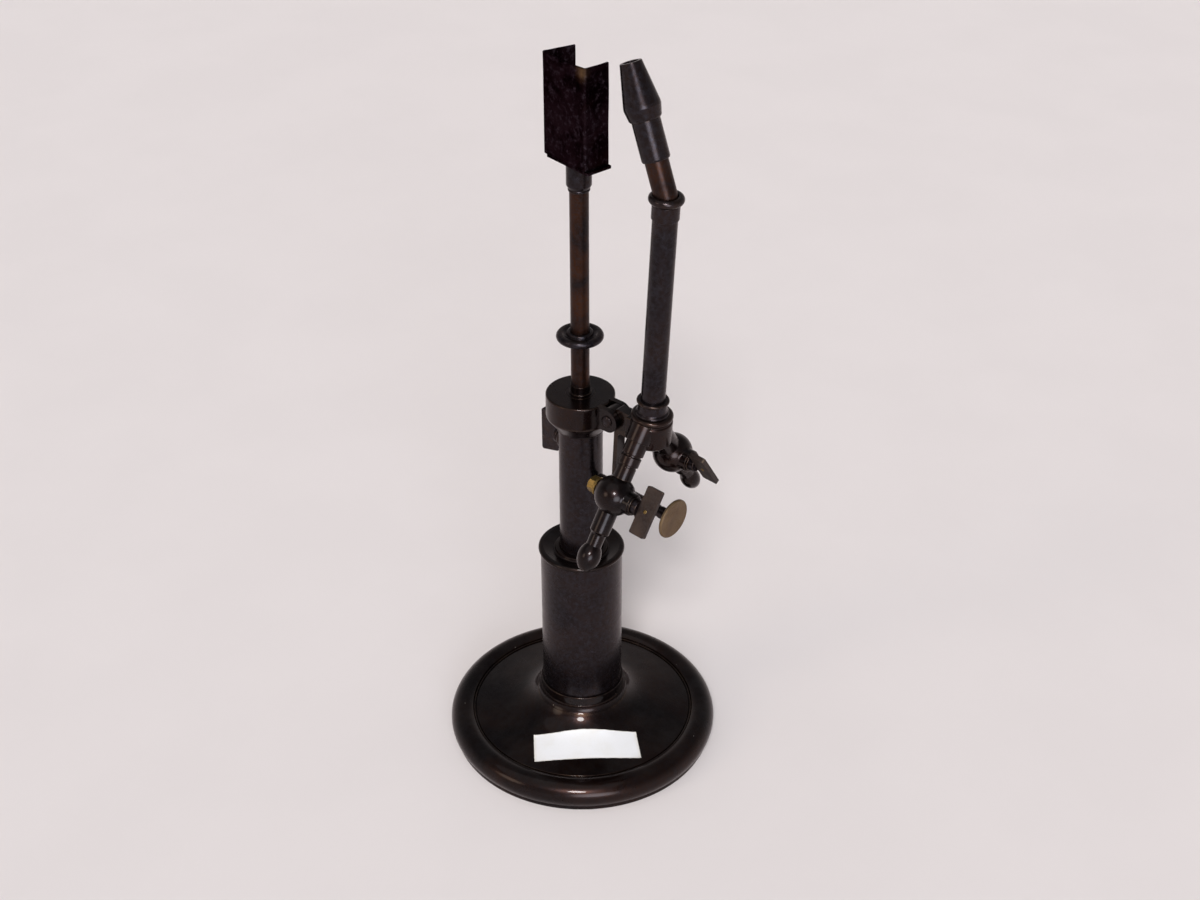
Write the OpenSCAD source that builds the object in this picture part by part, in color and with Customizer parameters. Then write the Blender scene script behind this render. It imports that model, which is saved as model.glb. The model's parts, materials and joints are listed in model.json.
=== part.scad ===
// Limelight lamp. A weighted foot and pillar carry a sliding column. The column holds
// a rod with a channel for the lime, and a hinged burner fed by two pipes with cocks.
// Frame: origin at the centre of the foot's underside, +Z up, +X towards the burner.

/* [Foot] */
// Outer diameter of the foot
foot_d = 150; // [146:1:156]
// Radius of the rounded rim's section
rim_r = 7.8; // [7.5:0.1:8.2]
// Height of the foot's top under the pillar
foot_h = 26; // [25:0.1:28]
// Wall of the foot's cone
foot_wall = 4; // [3:0.5:5]
// Width of the paper label
label_w = 57; // [40:1:60]
// Depth of the paper label along the slope
label_d = 18; // [12:1:20]

/* [Pillar] */
// Outer diameter of the pillar
pillar_d = 44; // [43:0.5:46]
// Height of the pillar's tube above the floor
pillar_top = 122.6; // [120:0.1:126]
// Diameter of the lip round the pillar's top
lip_d = 46.4; // [46:0.1:50]

/* [Column] */
// Outer diameter of the sliding column
column_d = 23; // [22:0.5:24]
// Height of the column's cap above the floor
cap_top = 221; // [219:0.5:223]
// Diameter of the cap
cap_d = 35.7; // [35:0.1:37]

/* [Rod and lime holder] */
// Diameter of the lime rod
rod_d = 9.5; // [9:0.1:10]
// Height of the holder's floor above the floor of the room
holder_z = 350; // [345:1:355]
// Height of the lime channel
holder_h = 50; // [40:1:55]
// Width of the channel's web
web_w = 31; // [28:0.5:33]
// Angle of the web from +X, about the rod
holder_turn = -8.6; // [-20:0.1:20]
// Thickness of the holder's sheet
sheet = 1.1; // [0.8:0.1:1.4]

/* [Burner] */
// Outward lean of the burner at rest, in degrees
lean = 2.95; // [2:0.05:4]
// Distance of the burner tube from the column's axis
burner_x = 46.75; // [46:0.25:48]
// Diameter of the burner tube
tube_d = 12.2; // [11.8:0.1:12.6]
// Height of the elbow's bend
bend_z = 346.3; // [340:0.5:350]
// Angle of the elbow from the burner tube
bend = 23.25; // [18:0.25:28]
// Length from the bend to the mouth of the nozzle
nozzle_reach = 63.9; // [62:0.1:66]

/* [Cocks] */
// Diameter of a cock's ball
ball_d = 20.7; // [20:0.1:21.5]
// Slope of the oxygen pipe below the horizontal
oxygen_dip = 57.6; // [55:0.1:60]
// Slope of the gas pipe below the horizontal
gas_dip = 55.6; // [53:0.1:58]
// Length of a cock's flat key
key_len = 25.2; // [22:0.2:26]

/* [Tilt screw] */
// Height of the tilt screw, before the burner leans
screw_z = 172.7; // [171:0.1:175]
// Diameter of the tilt screw
screw_d = 6.5; // [6:0.1:7]
// Diameter of its round head
head_d = 21.2; // [18:0.1:22]

/* [Fits] */
// Radial clearance of a running fit
running = 0.05; // [0.02:0.01:0.08]
// Gap between faces that pass each other
gap = 0.3; // [0.2:0.05:0.5]

/* [Hidden] */
$fn = 96;
cut = 1;

// Foot
foot_r = foot_d / 2;
rim_c = foot_r - rim_r;
floor_r = foot_r - 2;
cone_r = pillar_d / 2 + 3;
valley = [rim_c - 5.9, rim_r + 5.3];
foot_slope = 6.6;
foot_flare = 7;
foot_steps = 24;
hub_r = 16;
hub_z = 12;
stud_r = 4;
ballast_r = [20, 57];
ballast_z = 2.4;
label_r = 40;
label_turn = -46.1;
label_t = 0.25;
ring_h = 10;

// Pillar
pillar_r = pillar_d / 2;
pillar_bore = pillar_r - 1.5;
plug_h = 10;
collar_h = 11;
lip_h = 2.6;

// Column
column_r = column_d / 2;
column_bore = column_r - 1.3;
piston_z = 70;
piston_h = 13;
cap_r = cap_d / 2;
cap_z = cap_top - 21.5;
seat_z = cap_top - 10;
gland_r = 5.4;
gland_h = 5;
packing_r = 7.5;
clamp_z = 189.3;
clamp_r = 3;
wing = [12, 3, 25.5];
wing_x = -14;

// Rod
rod_r = rod_d / 2;
guide_z = 100;
guide_h = 9.9;
journal_r = 3.5;
disc_z = 251.9;
disc_r = 12.05;
disc_t = 3.9;
ferrule_r = 6.25;
ferrule_z = 334;
floor_t = 1.2;
rod_end = 340;
web_y = -9.3;
leg_long = 17.6;
leg_short = 14.7;
toe_in = 10.3;

// Hinge of the burner
hinge = [23.1, 0, 215.5];
lug_r = 6.2;
lug_y = [3.3, 6.2];
hinge_r = 2;
knuckle_r = 6.1;
knuckle_y = 3;

// Burner
tube_r = tube_d / 2;
tube_bore = tube_r - 1.5;
chamber_r = 10.6;
chamber_z = [212.5, 229.3];
cavity_r = 8.4;
cavity_z = [216, 226];
socket_r = 6.7;
socket_from = 29.2;
socket_to = 38;
ferrule_top = 237.4;
socket_z = [336.4, 344];
spigot_r = 5;
spigot_z = 340.4;
elbow_r = 5.65;
elbow_bore = 3.5;
sleeve_s = [18.5, 37.8];
tip_s = [37.8, 43.8];
passage_r = 2.6;

// Cocks, as [y, z] in the leaning burner's plane
ball_r = ball_d / 2;
oxygen_at = [-25.83, 192.06];
gas_at = [19.22, 195.58];
plug_r = 4.2;
thread_r = 2.4;
key_x = [16, 25];
key_t = 2.4;
pin_x = 20.15;
pin_r = 1.1;
nut_x = -15.2;

// Inner face of the tilt screw's head
head_x = 63.4;

// Shared shapes

// An upright cylinder between two heights
module post(r, z0, z1) {
    translate([0, 0, z0]) cylinder(r = r, h = z1 - z0);
}

// An upright ring between two heights
module ring(r_out, r_in, z0, z1) {
    difference() {
        post(r_out, z0, z1);
        post(r_in, z0 - cut, z1 + cut);
    }
}

// A cylinder along X between two places
module bar_x(r, x0, x1) {
    translate([x0, 0, 0]) rotate([0, 90, 0]) cylinder(r = r, h = x1 - x0);
}

// A cylinder along Y between two places
module bar_y(r, y0, y1) {
    translate([0, y1, 0]) rotate([90, 0, 0]) cylinder(r = r, h = y1 - y0);
}

// Foot and what it holds

// Points of the foot's top from its valley in to the pillar, lifted by some height.
// It rises gently and flares up just before the pillar.
function foot_top(lift) = [
    for (i = [0 : foot_steps])
    let (u = i / foot_steps)
    [
        valley[0] - u * (valley[0] - cone_r),
        valley[1] + foot_slope * u + (foot_h - valley[1] - foot_slope) * pow(u, foot_flare) + lift
    ]
];

// Height of the hollow under the foot, at a radius
function hollow_z(r) = valley[1] - foot_wall + foot_slope * (valley[0] - r) / (valley[0] - cone_r);

module foot() {
    color([0.13, 0.09, 0.07])
    difference() {
        rotate_extrude() {
            translate([rim_c, rim_r]) circle(r = rim_r);
            translate([rim_c - 1, 0]) square([floor_r - rim_c + 1, rim_r]);
            polygon(concat(
                [
                    [0, hub_z], [hub_r, hub_z], [hub_r, hollow_z(hub_r)], [ballast_r[1], hollow_z(ballast_r[1])],
                    [rim_c, valley[1] - foot_wall], [rim_c, valley[1] - cut]
                ],
                foot_top(0),
                [[0, foot_h]]
            ));
        }
        post(stud_r, 0, foot_h + cut);
    }
}

module lead_ballast() {
    color([0.42, 0.43, 0.45])
    rotate_extrude()
    polygon([
        [ballast_r[0], ballast_z], [ballast_r[1], ballast_z],
        [ballast_r[1], hollow_z(ballast_r[1]) - gap], [ballast_r[0], hollow_z(ballast_r[0]) - gap]
    ]);
}

module baize_disc() {
    color([0.12, 0.25, 0.14]) ring(ballast_r[1], ballast_r[0] - 6, ballast_z - 1.4, ballast_z);
}

module foot_stud() {
    color([0.5, 0.5, 0.5]) post(stud_r, 3.4, foot_h + 7.6);
}

module foot_washer() {
    color([0.5, 0.5, 0.5]) ring(9, stud_r, hub_z - 1, hub_z);
}

module foot_nut() {
    color([0.5, 0.5, 0.5])
    difference() {
        translate([0, 0, hub_z - 7]) cylinder(r = 7.5, h = 6, $fn = 6);
        post(stud_r, 0, hub_z);
    }
}

// Slim collar round the foot of the pillar, with a cove under it and a fine groove
module foot_ring() {
    proud = 1.1;
    cove = 6.3;
    cove_h = 4.5;
    base = 2.7;
    groove = 4.6;
    color([0.13, 0.09, 0.07])
    rotate_extrude()
    difference() {
        union() {
            translate([pillar_r, foot_h]) square([proud, ring_h - proud]);
            intersection() {
                translate([pillar_r, foot_h + ring_h - proud]) circle(r = proud);
                translate([pillar_r, foot_h]) square([proud, ring_h]);
            }
            translate([pillar_r, foot_h]) square([base, cove_h]);
        }
        translate([pillar_r + proud + cove, foot_h + cove_h]) circle(r = cove);
        translate([pillar_r + proud, foot_h + groove]) circle(r = 0.35);
    }
}

// Blank paper label, pasted on the foot
module paper_label() {
    under = foot_top(0);
    over = foot_top(label_t);
    color([0.92, 0.91, 0.88])
    intersection() {
        rotate_extrude() polygon(concat(under, [for (i = [foot_steps : -1 : 0]) over[i]]));
        rotate([0, 0, label_turn])
        translate([label_r - label_d / 2, -label_w / 2, 0])
        cube([label_d, label_w, foot_h + cut]);
    }
}

// Pillar

module pillar_tube() {
    color([0.14, 0.1, 0.08]) ring(pillar_r, pillar_bore, foot_h, pillar_top);
}

module pillar_plug() {
    color([0.6, 0.45, 0.22])
    difference() {
        post(pillar_bore, foot_h, foot_h + plug_h);
        post(stud_r, 0, foot_h + 7.6);
    }
}

// Guide for the column, with a rounded lip and a dished top
module pillar_collar() {
    guide_r = column_r + running;
    lip_r = lip_d / 2;
    lip_top = pillar_top + lip_h;
    color([0.13, 0.09, 0.07])
    rotate_extrude() {
        translate([lip_r - lip_h / 2, pillar_top + lip_h / 2]) circle(r = lip_h / 2);
        polygon([
            [guide_r, pillar_top - collar_h], [pillar_bore, pillar_top - collar_h],
            [pillar_bore, pillar_top], [lip_r - lip_h / 2, pillar_top],
            [lip_r - lip_h / 2, lip_top], [lip_r - lip_h, lip_top],
            [guide_r + 3, lip_top - 2], [guide_r + 2.4, lip_top - 0.3],
            [guide_r + 0.6, lip_top], [guide_r, lip_top - 0.3]
        ]);
    }
}

// Column and its cap

module column_tube() {
    color([0.14, 0.1, 0.08])
    difference() {
        ring(column_r, column_bore, piston_z, seat_z);
        translate([0, 0, clamp_z]) bar_x(clamp_r + running, -column_r - cut, 0);
    }
}

// Piston on the column's lower end, with a groove for its packing
module column_piston() {
    piston_r = pillar_bore - 0.08;
    color([0.6, 0.45, 0.22])
    difference() {
        post(piston_r, piston_z - 3, piston_z + piston_h);
        post(column_r, piston_z, piston_z + piston_h + cut);
        post(2.5, piston_z - 4, piston_z + cut);
        ring(piston_r + cut, piston_r - 2.5, piston_z + 4, piston_z + 8);
    }
}

module piston_packing() {
    color([0.35, 0.2, 0.1])
    ring(pillar_bore - 0.04, pillar_bore - 2.58, piston_z + 4, piston_z + 8);
}

module column_cap() {
    color([0.13, 0.09, 0.07])
    difference() {
        rotate_extrude()
        polygon([
            [rod_r + running, seat_z], [column_r, seat_z], [column_r, cap_z],
            [column_r + 0.8, cap_z], [column_r + 0.8, cap_z + 0.8], [cap_r, cap_z + 8.5],
            [cap_r, cap_top - 0.6], [cap_r - 0.6, cap_top],
            [packing_r, cap_top], [packing_r, cap_top - 6.5], [rod_r + running, cap_top - 6.5]
        ]);
        translate(hinge) bar_y(knuckle_r + 0.8, -knuckle_y - gap, knuckle_y + gap);
    }
}

module gland_packing() {
    color([0.5, 0.36, 0.2]) ring(packing_r, rod_r + running, cap_top - 6.5, cap_top - 2);
}

module rod_gland() {
    color([0.13, 0.09, 0.07]) {
        difference() {
            union() {
                post(packing_r, cap_top - 2, cap_top);
                post(gland_r, cap_top - 2, cap_top + gland_h - 0.6);
                translate([0, 0, cap_top + gland_h - 0.6]) cylinder(r1 = gland_r, r2 = gland_r - 0.5, h = 0.6);
            }
            post(rod_r + running, cap_top - 3, cap_top + gland_h + cut);
        }
    }
}

// Two ears on the cap that carry the burner's hinge
module hinge_lugs() {
    color([0.13, 0.09, 0.07])
    for (near = [-lug_y[1], lug_y[0]])
    difference() {
        union() {
            translate(hinge) bar_y(lug_r, near, near + lug_y[1] - lug_y[0]);
            translate([cap_r - 4, near, hinge[2] - lug_r])
            cube([hinge[0] - cap_r + 4, lug_y[1] - lug_y[0], 2 * lug_r]);
        }
        post(cap_r, cap_z - cut, cap_top + 4);
        translate(hinge) bar_y(hinge_r, -lug_y[1] - cut, lug_y[1] + cut);
    }
}

module hinge_pin() {
    color([0.45, 0.36, 0.24])
    translate(hinge) {
        bar_y(hinge_r, -lug_y[1] - 0.5, lug_y[1] + 0.5);
    }
}

// Clamp screw that holds the rod at its height

module clamp_boss() {
    color([0.13, 0.09, 0.07])
    difference() {
        translate([0, 0, clamp_z]) bar_x(4.6, wing_x + gap, 0);
        post(column_r, clamp_z - 6, clamp_z + 6);
        translate([0, 0, clamp_z]) bar_x(clamp_r + running, wing_x - cut, 0);
    }
}

module clamp_screw() {
    color([0.45, 0.36, 0.24])
    translate([0, 0, clamp_z]) bar_x(clamp_r, wing_x, -rod_r - gap);
}

module clamp_wing() {
    color([0.16, 0.13, 0.11])
    translate([wing_x - wing[0], -wing[1] / 2, clamp_z - wing[2] / 2]) cube(wing);
}

// Rod with its guide and the lime holder

// Bush that slides in the column and lets the rod turn
module rod_guide() {
    color([0.6, 0.45, 0.22])
    ring(column_bore - running, journal_r + running, guide_z, guide_z + guide_h);
}

module lime_rod() {
    color([0.3, 0.2, 0.11])
    difference() {
        union() {
            post(journal_r, guide_z - 0.2, guide_z + 10);
            post(rod_r, guide_z + 10, rod_end);
        }
        post(1.5, guide_z - cut, guide_z + 8);
    }
}

module rod_end_screw() {
    color([0.6, 0.45, 0.22]) {
        post(5.5, guide_z - 3.2, guide_z - 0.2);
        post(1.5, guide_z - 0.2, guide_z + 8);
    }
}

// Disc by which the rod is turned
module finger_disc() {
    edge = disc_t / 2;
    color([0.14, 0.1, 0.08])
    difference() {
        rotate_extrude() {
            translate([disc_r - edge, disc_z + edge]) circle(r = edge);
            polygon([
                [0, disc_z], [disc_r - edge, disc_z], [disc_r - edge, disc_z + disc_t],
                [disc_r - edge - 1, disc_z + disc_t], [7.6, disc_z + disc_t - 0.9],
                [6.9, disc_z + disc_t - 0.9], [6.5, disc_z + disc_t + 0.5],
                [5.6, disc_z + disc_t + 0.9], [0, disc_z + disc_t + 0.9]
            ]);
        }
        post(rod_r, disc_z - cut, disc_z + disc_t + 2);
    }
}

module rod_ferrule() {
    top = holder_z - floor_t;
    color([0.13, 0.09, 0.07])
    difference() {
        union() {
            translate([0, 0, ferrule_z]) cylinder(r1 = rod_r + 0.3, r2 = ferrule_r, h = 2.3);
            post(ferrule_r, ferrule_z + 2.3, top);
        }
        post(rod_r, ferrule_z - cut, rod_end);
        post(2, rod_end - cut, top + cut);
    }
}

module holder_floor() {
    color([0.15, 0.13, 0.12])
    rotate([0, 0, holder_turn])
    difference() {
        translate([-web_w / 2 + 2.5, web_y, holder_z - floor_t]) cube([web_w - 0.5, 14.8, floor_t]);
        post(2, holder_z - 3, holder_z + cut);
    }
}

// Bent sheet channel that holds the lime upright, with one leg toed in
module lime_holder() {
    color([0.16, 0.15, 0.15])
    rotate([0, 0, holder_turn])
    translate([0, 0, holder_z])
    linear_extrude(height = holder_h) {
        translate([-web_w / 2, web_y]) square([web_w, sheet]);
        translate([web_w / 2 - sheet, web_y]) square([sheet, leg_short]);
        translate([-web_w / 2, web_y]) rotate(-toe_in) square([sheet, leg_long]);
    }
}

module holder_screw() {
    color([0.45, 0.36, 0.24]) {
        post(2, rod_end + 1, holder_z);
        post(3.6, holder_z, holder_z + 1.4);
    }
}

// Burner: everything here leans out together about the hinge

module leaning() {
    translate(hinge) rotate([0, lean, 0]) translate(-hinge) children();
}

// Into the frame of a cock: X along its plug, -Z along its pipe
module at_cock(place, tilt) {
    leaning() translate([burner_x, place[0], place[1]]) rotate([tilt, 0, 0]) children();
}

module at_oxygen() {
    at_cock(oxygen_at, oxygen_dip - 90) children();
}

module at_gas() {
    at_cock(gas_at, 90 - gas_dip) children();
}

// Knuckle, tail strip and bridge block, cast in one
module burner_carrier() {
    strip_x = 25.6;
    block_x = 34.5;
    arm_z = [209, 223];
    color([0.13, 0.09, 0.07])
    leaning()
    difference() {
        union() {
            translate(hinge) bar_y(knuckle_r, -knuckle_y, knuckle_y);
            translate([strip_x, -2.6, screw_z]) cube([2.5, 5.2, arm_z[1] - 1 - screw_z]);
            translate([0, 0, screw_z]) bar_x(5, strip_x - 1, strip_x + 4.5);
            translate([strip_x, -knuckle_y, arm_z[0]])
            cube([block_x + cut - strip_x, 2 * knuckle_y, arm_z[1] - arm_z[0]]);
            translate([block_x, -5.5, chamber_z[0]])
            cube([burner_x - block_x - 2, 11, arm_z[1] + 0.4 - chamber_z[0]]);
        }
        translate([burner_x, 0, 0]) post(chamber_r, 200, 235);
        translate(hinge) bar_y(hinge_r + running, -10, 10);
        translate([0, 0, screw_z]) bar_x(screw_d / 2 + running, strip_x - 3, strip_x + 8);
    }
}

// Both pipes' passages, as bores into the chamber
module passages() {
    for (side = [[oxygen_at, oxygen_dip - 90], [gas_at, 90 - gas_dip]])
    translate([burner_x, side[0][0], side[0][1]]) rotate([side[1], 0, 0]) post(passage_r, 8, 34);
}

// Outside of the mixing chamber, with its rounded flange and the socket of the oxygen pipe
module chamber_outer() {
    low = chamber_z[0];
    top = chamber_z[1];
    leaning()
    translate([burner_x, 0, 0])
    rotate_extrude() {
        translate([chamber_r - 1.5, top - 1.6]) circle(r = 1.6);
        polygon([
            [0, low], [chamber_r - 0.8, low], [chamber_r, low + 0.8],
            [chamber_r, top - 4.6], [chamber_r - 0.7, top - 3.9], [chamber_r - 0.7, top - 3.2],
            [chamber_r - 1.5, top - 3.2], [chamber_r - 1.5, top], [0, top]
        ]);
    }
    at_oxygen() post(socket_r, socket_from, socket_to);
}

module mixing_chamber() {
    color([0.13, 0.09, 0.07])
    difference() {
        chamber_outer();
        leaning() translate([burner_x, 0, 0]) post(cavity_r, cavity_z[0], cavity_z[1]);
        leaning() translate([burner_x, 0, 0]) post(tube_r, cavity_z[1] - cut, chamber_z[1] + cut);
        leaning() passages();
    }
}

// Pierced discs in the chamber, which stop a flame running back
module baffle_discs() {
    color([0.65, 0.5, 0.25])
    leaning()
    translate([burner_x, 0, 0])
    for (z = [221.4, 223.4, 225])
    difference() {
        post(cavity_r, z, z + 0.8);
        for (turn = [0 : 60 : 300]) rotate([0, 0, turn]) translate([5.4, 0, 0]) post(1.2, z - cut, z + 2);
        post(1.2, z - cut, z + 2);
    }
}

module chamber_ferrule() {
    low = chamber_z[1];
    color([0.13, 0.09, 0.07])
    leaning()
    translate([burner_x, 0, 0])
    rotate_extrude() {
        translate([7.2, ferrule_top - 1]) circle(r = 1);
        polygon([
            [tube_r, low], [8.6, low], [8.2, low + 0.9], [7.4, low + 1.4],
            [7.1, ferrule_top - 2], [7.2, ferrule_top - 1], [7.2, ferrule_top], [tube_r, ferrule_top]
        ]);
    }
}

module burner_tube() {
    color([0.15, 0.11, 0.08])
    leaning()
    translate([burner_x, 0, 0])
    ring(tube_r, tube_bore, cavity_z[1], 340);
}

module tube_socket() {
    color([0.2, 0.14, 0.09])
    leaning()
    translate([burner_x, 0, 0])
    difference() {
        post(tube_r + 0.6, socket_z[0], socket_z[1]);
        post(tube_r, socket_z[0] - cut, 340);
        post(spigot_r + running, 339, socket_z[1] + cut);
    }
}

// Oxygen pipe with two turned bands, from the chamber to its cock
module oxygen_branch() {
    bands = [
        [0, 8], [4.9, 8], [4.9, 15.6], [4.6, 15.8], [4.6, 16.5], [5.4, 16.8], [5.4, 21.2],
        [4.7, 21.5], [4.7, 22.2], [5.6, 22.5], [5.6, 31], [0, 31]
    ];
    color([0.13, 0.09, 0.07])
    difference() {
        at_oxygen() rotate_extrude() polygon(bands);
        at_oxygen() sphere(r = ball_r);
        at_oxygen() post(passage_r, 5, 40);
        chamber_outer();
    }
}

module gas_branch() {
    color([0.13, 0.09, 0.07])
    difference() {
        at_gas() post(6.3, 8, 26);
        at_gas() sphere(r = ball_r);
        at_gas() post(passage_r, 5, 40);
        chamber_outer();
    }
}

// Ball of a cock, with the neck that its plug turns in
module cock_body() {
    color([0.13, 0.09, 0.07])
    difference() {
        union() {
            sphere(r = ball_r);
            bar_x(5.75, 0, 12);
            bar_x(5.2, 0, 13.2);
        }
        bar_x(plug_r + running, -20, 20);
        post(passage_r, -20, 20);
        translate([-20 - ball_r + 0.6, -10, -10]) cube(20);
    }
}

// Tongue on the plug's end that the key is pinned to
module tongue() {
    translate([0, -0.4, -3]) cube([22.5, 0.8, 6]);
}

// Plug with its tongue, a cross passage and a thread for its nut
module cock_plug() {
    color([0.45, 0.36, 0.24])
    difference() {
        union() {
            bar_x(plug_r, -ball_r + 0.3, key_x[0]);
            bar_x(thread_r, nut_x - 1.4, 0);
            tongue();
        }
        post(passage_r - 0.1, -8, 8);
        translate([pin_x, 0, 0]) bar_y(pin_r, -5, 5);
        difference() {
            translate([13.6, -key_t / 2, -7]) cube([4, key_t, 14]);
            tongue();
        }
    }
}

// Flat key with a round middle
module cock_key() {
    color([0.3, 0.25, 0.21])
    difference() {
        union() {
            translate([key_x[0], -key_t / 2, -key_len / 2]) cube([key_x[1] - key_x[0], key_t, key_len]);
            intersection() {
                translate([key_x[0] + 3.6, 0, 0]) bar_y(6, -key_t / 2, key_t / 2);
                translate([13.6, -5, -10]) cube([10, 10, 20]);
            }
        }
        tongue();
        translate([pin_x, 0, 0]) bar_y(pin_r, -5, 5);
    }
}

module key_pin() {
    color([0.8, 0.75, 0.62])
    translate([pin_x, 0, 0]) bar_y(pin_r, -key_t / 2 - 0.3, key_t / 2 + 0.3);
}

module cock_washer() {
    color([0.66, 0.5, 0.25])
    difference() {
        bar_x(4.8, -ball_r - 0.9, -ball_r + 0.3);
        bar_x(thread_r, -20, 0);
    }
}

module cock_nut() {
    color([0.72, 0.55, 0.27])
    difference() {
        translate([nut_x, 0, 0]) rotate([0, 90, 0]) cylinder(r = 4.4, h = -ball_r - 0.9 - nut_x, $fn = 6);
        bar_x(thread_r, -20, 0);
    }
}

// Hose tail down from the ball: stub, neck and olive
module hose_tail(stub_r, stub_len, neck_r, olive_at, olive_r, olive_half) {
    tip_r = 2.9;
    arc = (olive_half * olive_half + pow(olive_r - tip_r, 2)) / (2 * (olive_r - tip_r));
    color([0.13, 0.09, 0.07])
    difference() {
        union() {
            post(stub_r, -stub_len, -8);
            translate([0, 0, -stub_len - 1.2]) cylinder(r1 = neck_r, r2 = stub_r, h = 1.2);
            post(neck_r, -olive_at, -stub_len);
            rotate_extrude()
            intersection() {
                translate([olive_r - arc, -olive_at]) circle(r = arc);
                translate([0, -olive_at - olive_half]) square([olive_r + cut, 2 * olive_half]);
            }
        }
        sphere(r = ball_r);
        post(2, -olive_at - 20, -5);
    }
}

module oxygen_cock_body() at_oxygen() cock_body();
module oxygen_cock_plug() at_oxygen() cock_plug();
module oxygen_cock_key() at_oxygen() cock_key();
module oxygen_key_pin() at_oxygen() key_pin();
module oxygen_cock_washer() at_oxygen() cock_washer();
module oxygen_cock_nut() at_oxygen() cock_nut();
module oxygen_hose_tail() at_oxygen() hose_tail(5.1, 20, 3.9, 33.4, 5.9, 7.2);

module gas_cock_body() at_gas() cock_body();
module gas_cock_plug() at_gas() cock_plug();
module gas_cock_key() at_gas() cock_key();
module gas_key_pin() at_gas() key_pin();
module gas_cock_washer() at_gas() cock_washer();
module gas_cock_nut() at_gas() cock_nut();
module gas_hose_tail() at_gas() hose_tail(4.7, 17, 3.7, 30, 5.1, 7);

// Tilt screw: its tip bears on the column and sets the burner's lean

module tilt_screw() {
    color([0.13, 0.1, 0.08])
    leaning() translate([0, 0, screw_z]) bar_x(screw_d / 2, 14.1, head_x);
}

module tilt_screw_head() {
    color([0.36, 0.29, 0.21])
    leaning() translate([head_x, 0, screw_z]) rotate([0, 90, 0])
    rotate_extrude()
    polygon([
        [0, 0], [head_d / 2 - 0.6, 0], [head_d / 2, 0.6], [head_d / 2, 1.3],
        [head_d / 2 - 0.5, 1.8], [0, 2]
    ]);
}

// Elbow and nozzle, which swivel in the socket

module at_bend() {
    leaning() translate([burner_x, 0, bend_z]) rotate([0, -bend, 0]) children();
}

module elbow_tube() {
    color([0.3, 0.2, 0.11])
    difference() {
        union() {
            leaning() translate([burner_x, 0, 0]) post(spigot_r, spigot_z, bend_z);
            intersection() {
                at_bend() sphere(r = elbow_r + 0.1);
                leaning() translate([burner_x, 0, 0]) post(tube_d, socket_z[1] + gap, bend_z + tube_d);
            }
            at_bend() post(elbow_r, 0, sleeve_s[0] + 12);
        }
        leaning() translate([burner_x, 0, 0]) post(elbow_bore - 0.2, spigot_z - cut, bend_z + 1.2);
        at_bend() post(elbow_bore, -0.5, sleeve_s[0] + 12 + cut);
    }
}

module elbow_ring() {
    ring_r = 2.1;
    color([0.2, 0.14, 0.09])
    difference() {
        leaning()
        translate([burner_x, 0, 0])
        rotate_extrude() translate([8.55 - ring_r, socket_z[1] + gap + ring_r]) circle(r = ring_r);
        leaning() translate([burner_x, 0, 0]) post(spigot_r, spigot_z, bend_z);
        at_bend() sphere(r = elbow_r + 0.1);
        at_bend() post(elbow_r, 0, 20);
    }
}

module nozzle_sleeve() {
    sleeve_r = 6.75;
    color([0.13, 0.1, 0.08])
    at_bend()
    difference() {
        union() {
            translate([0, 0, sleeve_s[0]]) cylinder(r1 = sleeve_r - 0.4, r2 = sleeve_r, h = 0.8);
            post(sleeve_r, sleeve_s[0] + 0.8, sleeve_s[1]);
        }
        post(elbow_r, sleeve_s[0] - cut, sleeve_s[0] + 12);
        post(elbow_bore, sleeve_s[0], sleeve_s[1] + cut);
    }
}

module nozzle_tip() {
    color([0.13, 0.1, 0.08])
    at_bend()
    difference() {
        rotate_extrude()
        polygon([
            [0, tip_s[0]], [7.4, tip_s[0]], [7.65, tip_s[0] + 0.4], [8.6, tip_s[1] - 0.8],
            [8.85, tip_s[1]], [8.6, tip_s[1] + 0.9], [5.3, nozzle_reach - 0.3],
            [5.05, nozzle_reach], [0, nozzle_reach]
        ]);
        post(elbow_bore, tip_s[0] - cut, nozzle_reach + cut);
    }
}

module jet_nipple() {
    color([0.45, 0.36, 0.24])
    at_bend() ring(elbow_bore, 0.8, nozzle_reach - 9, nozzle_reach - 1.5);
}

foot();
lead_ballast();
baize_disc();
foot_stud();
foot_nut();
foot_washer();
foot_ring();
pillar_tube();
pillar_plug();
pillar_collar();
paper_label();
column_tube();
column_piston();
piston_packing();
column_cap();
gland_packing();
rod_gland();
hinge_lugs();
hinge_pin();
clamp_boss();
clamp_screw();
clamp_wing();
rod_guide();
lime_rod();
rod_end_screw();
finger_disc();
rod_ferrule();
holder_floor();
lime_holder();
holder_screw();
burner_carrier();
mixing_chamber();
baffle_discs();
chamber_ferrule();
burner_tube();
tube_socket();
oxygen_branch();
gas_branch();
oxygen_cock_body();
gas_cock_body();
oxygen_hose_tail();
gas_hose_tail();
oxygen_cock_plug();
oxygen_cock_key();
oxygen_key_pin();
oxygen_cock_washer();
oxygen_cock_nut();
gas_cock_plug();
gas_cock_key();
gas_key_pin();
gas_cock_washer();
gas_cock_nut();
tilt_screw();
tilt_screw_head();
elbow_tube();
elbow_ring();
nozzle_sleeve();
nozzle_tip();
jet_nipple();
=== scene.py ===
import bpy
import bmesh
import json
import math
from mathutils import Matrix
from mathutils import Vector
from mathutils import noise

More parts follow.
